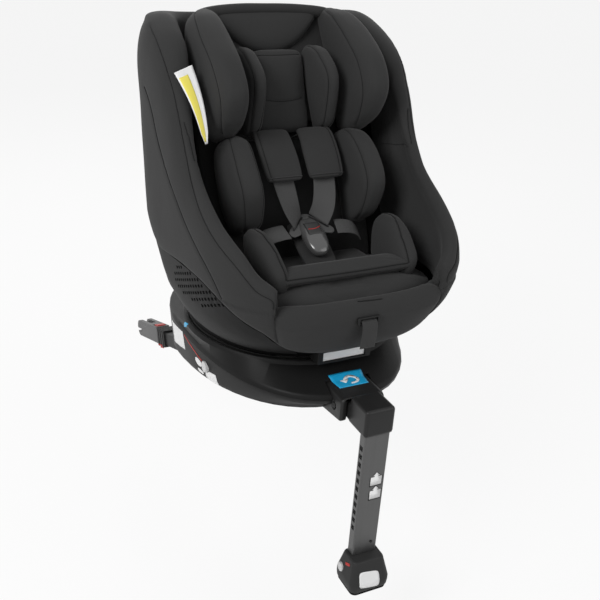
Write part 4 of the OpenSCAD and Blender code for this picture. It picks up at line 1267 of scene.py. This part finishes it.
turn_arrow(decal("nose_label", "base", "leg_bracket base_cover",
                 [(-30, -181, 76), (30, -181, 76), (26, -215, 76), (-26, -215, 76)], DOWN, BLUE))
for name, node, corners, material, more in SIDE_DECALS:
    decal(name, "base", node, corners, ACROSS, material, **more)
for side, word in SIDES:
    arm = "anchor_arm_" + word
    decal("anchor_window_" + word, arm, arm, mirrored(ANCHOR_WINDOW, side), (-side, 0, 0), RED, "release_red")
leg_mark("leg_mark_high", 6, -53)
leg_mark("leg_mark_low", 7, -80)
decal("leg_rivet", "leg", "leg_outer_tube",
      [(8.5, -298, -176), (13.5, -298, -176), (13.5, -298, -181), (8.5, -298, -181)], BACKWARD, DARK, "leg_steel", 2.0,
      (9, 9))
decal("foot_sticker", "foot", "foot_housing",
      [(-21, -323, -214), (15, -324, -219), (15, -330, -248), (-23, -330, -241)], BACKWARD, WHITE, inset=6)
decal("foot_window", "foot", "foot_housing",
      [(-31, -294, -212), (-30, -305, -207), (-31, -307, -211), (-32, -296, -216)], (1, 0, -0.5), RED, "release_red")


# Edges of the moulded and steel parts: welded, rounded and shaded smooth

EDGE_WIDTHS = {"leg_bracket": 0.004, "base_tray": 0.0015}
for name, node in NODES.items():
    if not node.hide_render:
        node.data.shade_smooth()
        rounded_edges(node, EDGE_WIDTHS.get(name, 0.0008))


# Camera, light and floor

CAMERA_TURN, CAMERA_RISE, PITCH = math.radians(26), math.radians(19), math.radians(8)
CAMERA_FAR, FOCAL_PX, FRAME_PX, SENSOR = 1.5488, 880.0, 600.0, 36
TARGET = Vector((0, 0, 0.121))
TARGET_PX = (297.6, 302.7)


def set_camera():
    """The photograph's view; the seat stands pitched in it, so the camera is turned back by the pitch."""
    level = Matrix.Rotation(PITCH, 3, "X")
    back = Vector((-math.sin(CAMERA_TURN) * math.cos(CAMERA_RISE), -math.cos(CAMERA_TURN) * math.cos(CAMERA_RISE),
                   math.sin(CAMERA_RISE)))
    right = Vector((math.cos(CAMERA_TURN), -math.sin(CAMERA_TURN), 0))
    up = back.cross(right)
    off_x, off_y = ((p - FRAME_PX / 2) * CAMERA_FAR / FOCAL_PX for p in TARGET_PX)
    at = level @ TARGET + back * CAMERA_FAR - right * off_x + up * off_y
    data = bpy.data.cameras.new("camera")
    data.sensor_width = SENSOR
    data.lens = SENSOR * FOCAL_PX / FRAME_PX
    SCENE.camera = linked("camera", data)
    axes = level.transposed() @ Matrix((right, up, back)).transposed()
    SCENE.camera.matrix_world = Matrix.Translation(level.transposed() @ at) @ axes.to_4x4()


def area_light(name, at, target, size, power):
    data = bpy.data.lights.new(name, "AREA")
    data.shape = "DISK"
    data.size = size
    data.energy = power
    lamp = linked(name, data)
    lamp.location = at
    lamp.rotation_euler = (Vector(target) - Vector(at)).to_track_quat("-Z", "Y").to_euler()


FLOOR_Z, FLOOR_HALF = -0.395, 12.0
WHITE_SHARE = 0.84


def seen_directly(tree):
    """1 for rays from the camera, straight or by way of gloss and glass."""
    path = add(tree, "LightPath")
    straight = add(tree, "Math", {0: path.outputs["Is Camera Ray"], 1: path.outputs["Is Glossy Ray"]},
                   operation="MAXIMUM")
    direct = add(tree, "Math", {0: straight.outputs["Value"], 1: path.outputs["Is Transmission Ray"]},
                 operation="MAXIMUM")
    return direct.outputs["Value"]


def floor():
    """The pale floor, mostly white to the camera, which keeps some of the shadow."""
    mesh = bpy.data.meshes.new("floor")
    corners = [(x * FLOOR_HALF, y * FLOOR_HALF, FLOOR_Z) for x, y in ((-1, -1), (1, -1), (1, 1), (-1, 1))]
    mesh.from_pydata(corners, [], [(0, 1, 2, 3)])
    mat, tree, shader, at = new_material("floor_pale", grey(236), 0.9)
    shades(tree, shader, mottle(tree, at["Object"], 3.0), grey(238), 0.01)
    white = add(tree, "Emission", {"Color": (1, 1, 1, 1), "Strength": 1.0})
    share = add(tree, "Math", {0: seen_directly(tree), 1: WHITE_SHARE}, operation="MULTIPLY")
    mix = add(tree, "MixShader", {0: share.outputs["Value"], 1: shader.outputs["BSDF"], 2: white.outputs["Emission"]})
    tree.links.new(mix.outputs["Shader"], tree.nodes["Material Output"].inputs["Surface"])
    mesh.materials.append(mat)
    linked("floor", mesh)


def world():
    sky = bpy.data.worlds.new("studio")
    SCENE.world = sky
    sky.use_nodes = True
    tree = sky.node_tree
    light = tree.nodes["Background"]
    light.inputs["Color"].default_value = (1, 1, 1, 1)
    light.inputs["Strength"].default_value = 0.45
    white = add(tree, "Background", {"Color": (1, 1, 1, 1), "Strength": 1.0})
    mix = add(tree, "MixShader", {0: seen_directly(tree), 1: light.outputs["Background"],
                                  2: white.outputs["Background"]})
    tree.links.new(mix.outputs["Shader"], tree.nodes["World Output"].inputs["Surface"])


set_camera()
floor()
world()
area_light("key", (-2.2, -1.1, 2.0), (0, 0, 0.25), 1.4, 52)
area_light("fill", (1.6, -2.0, 1.3), (0, 0, 0.2), 1.8, 13)
area_light("back", (0.3, 2.2, 1.9), (0, 0.1, 0.3), 1.4, 22)
SCENE.view_settings.view_transform = "Standard"
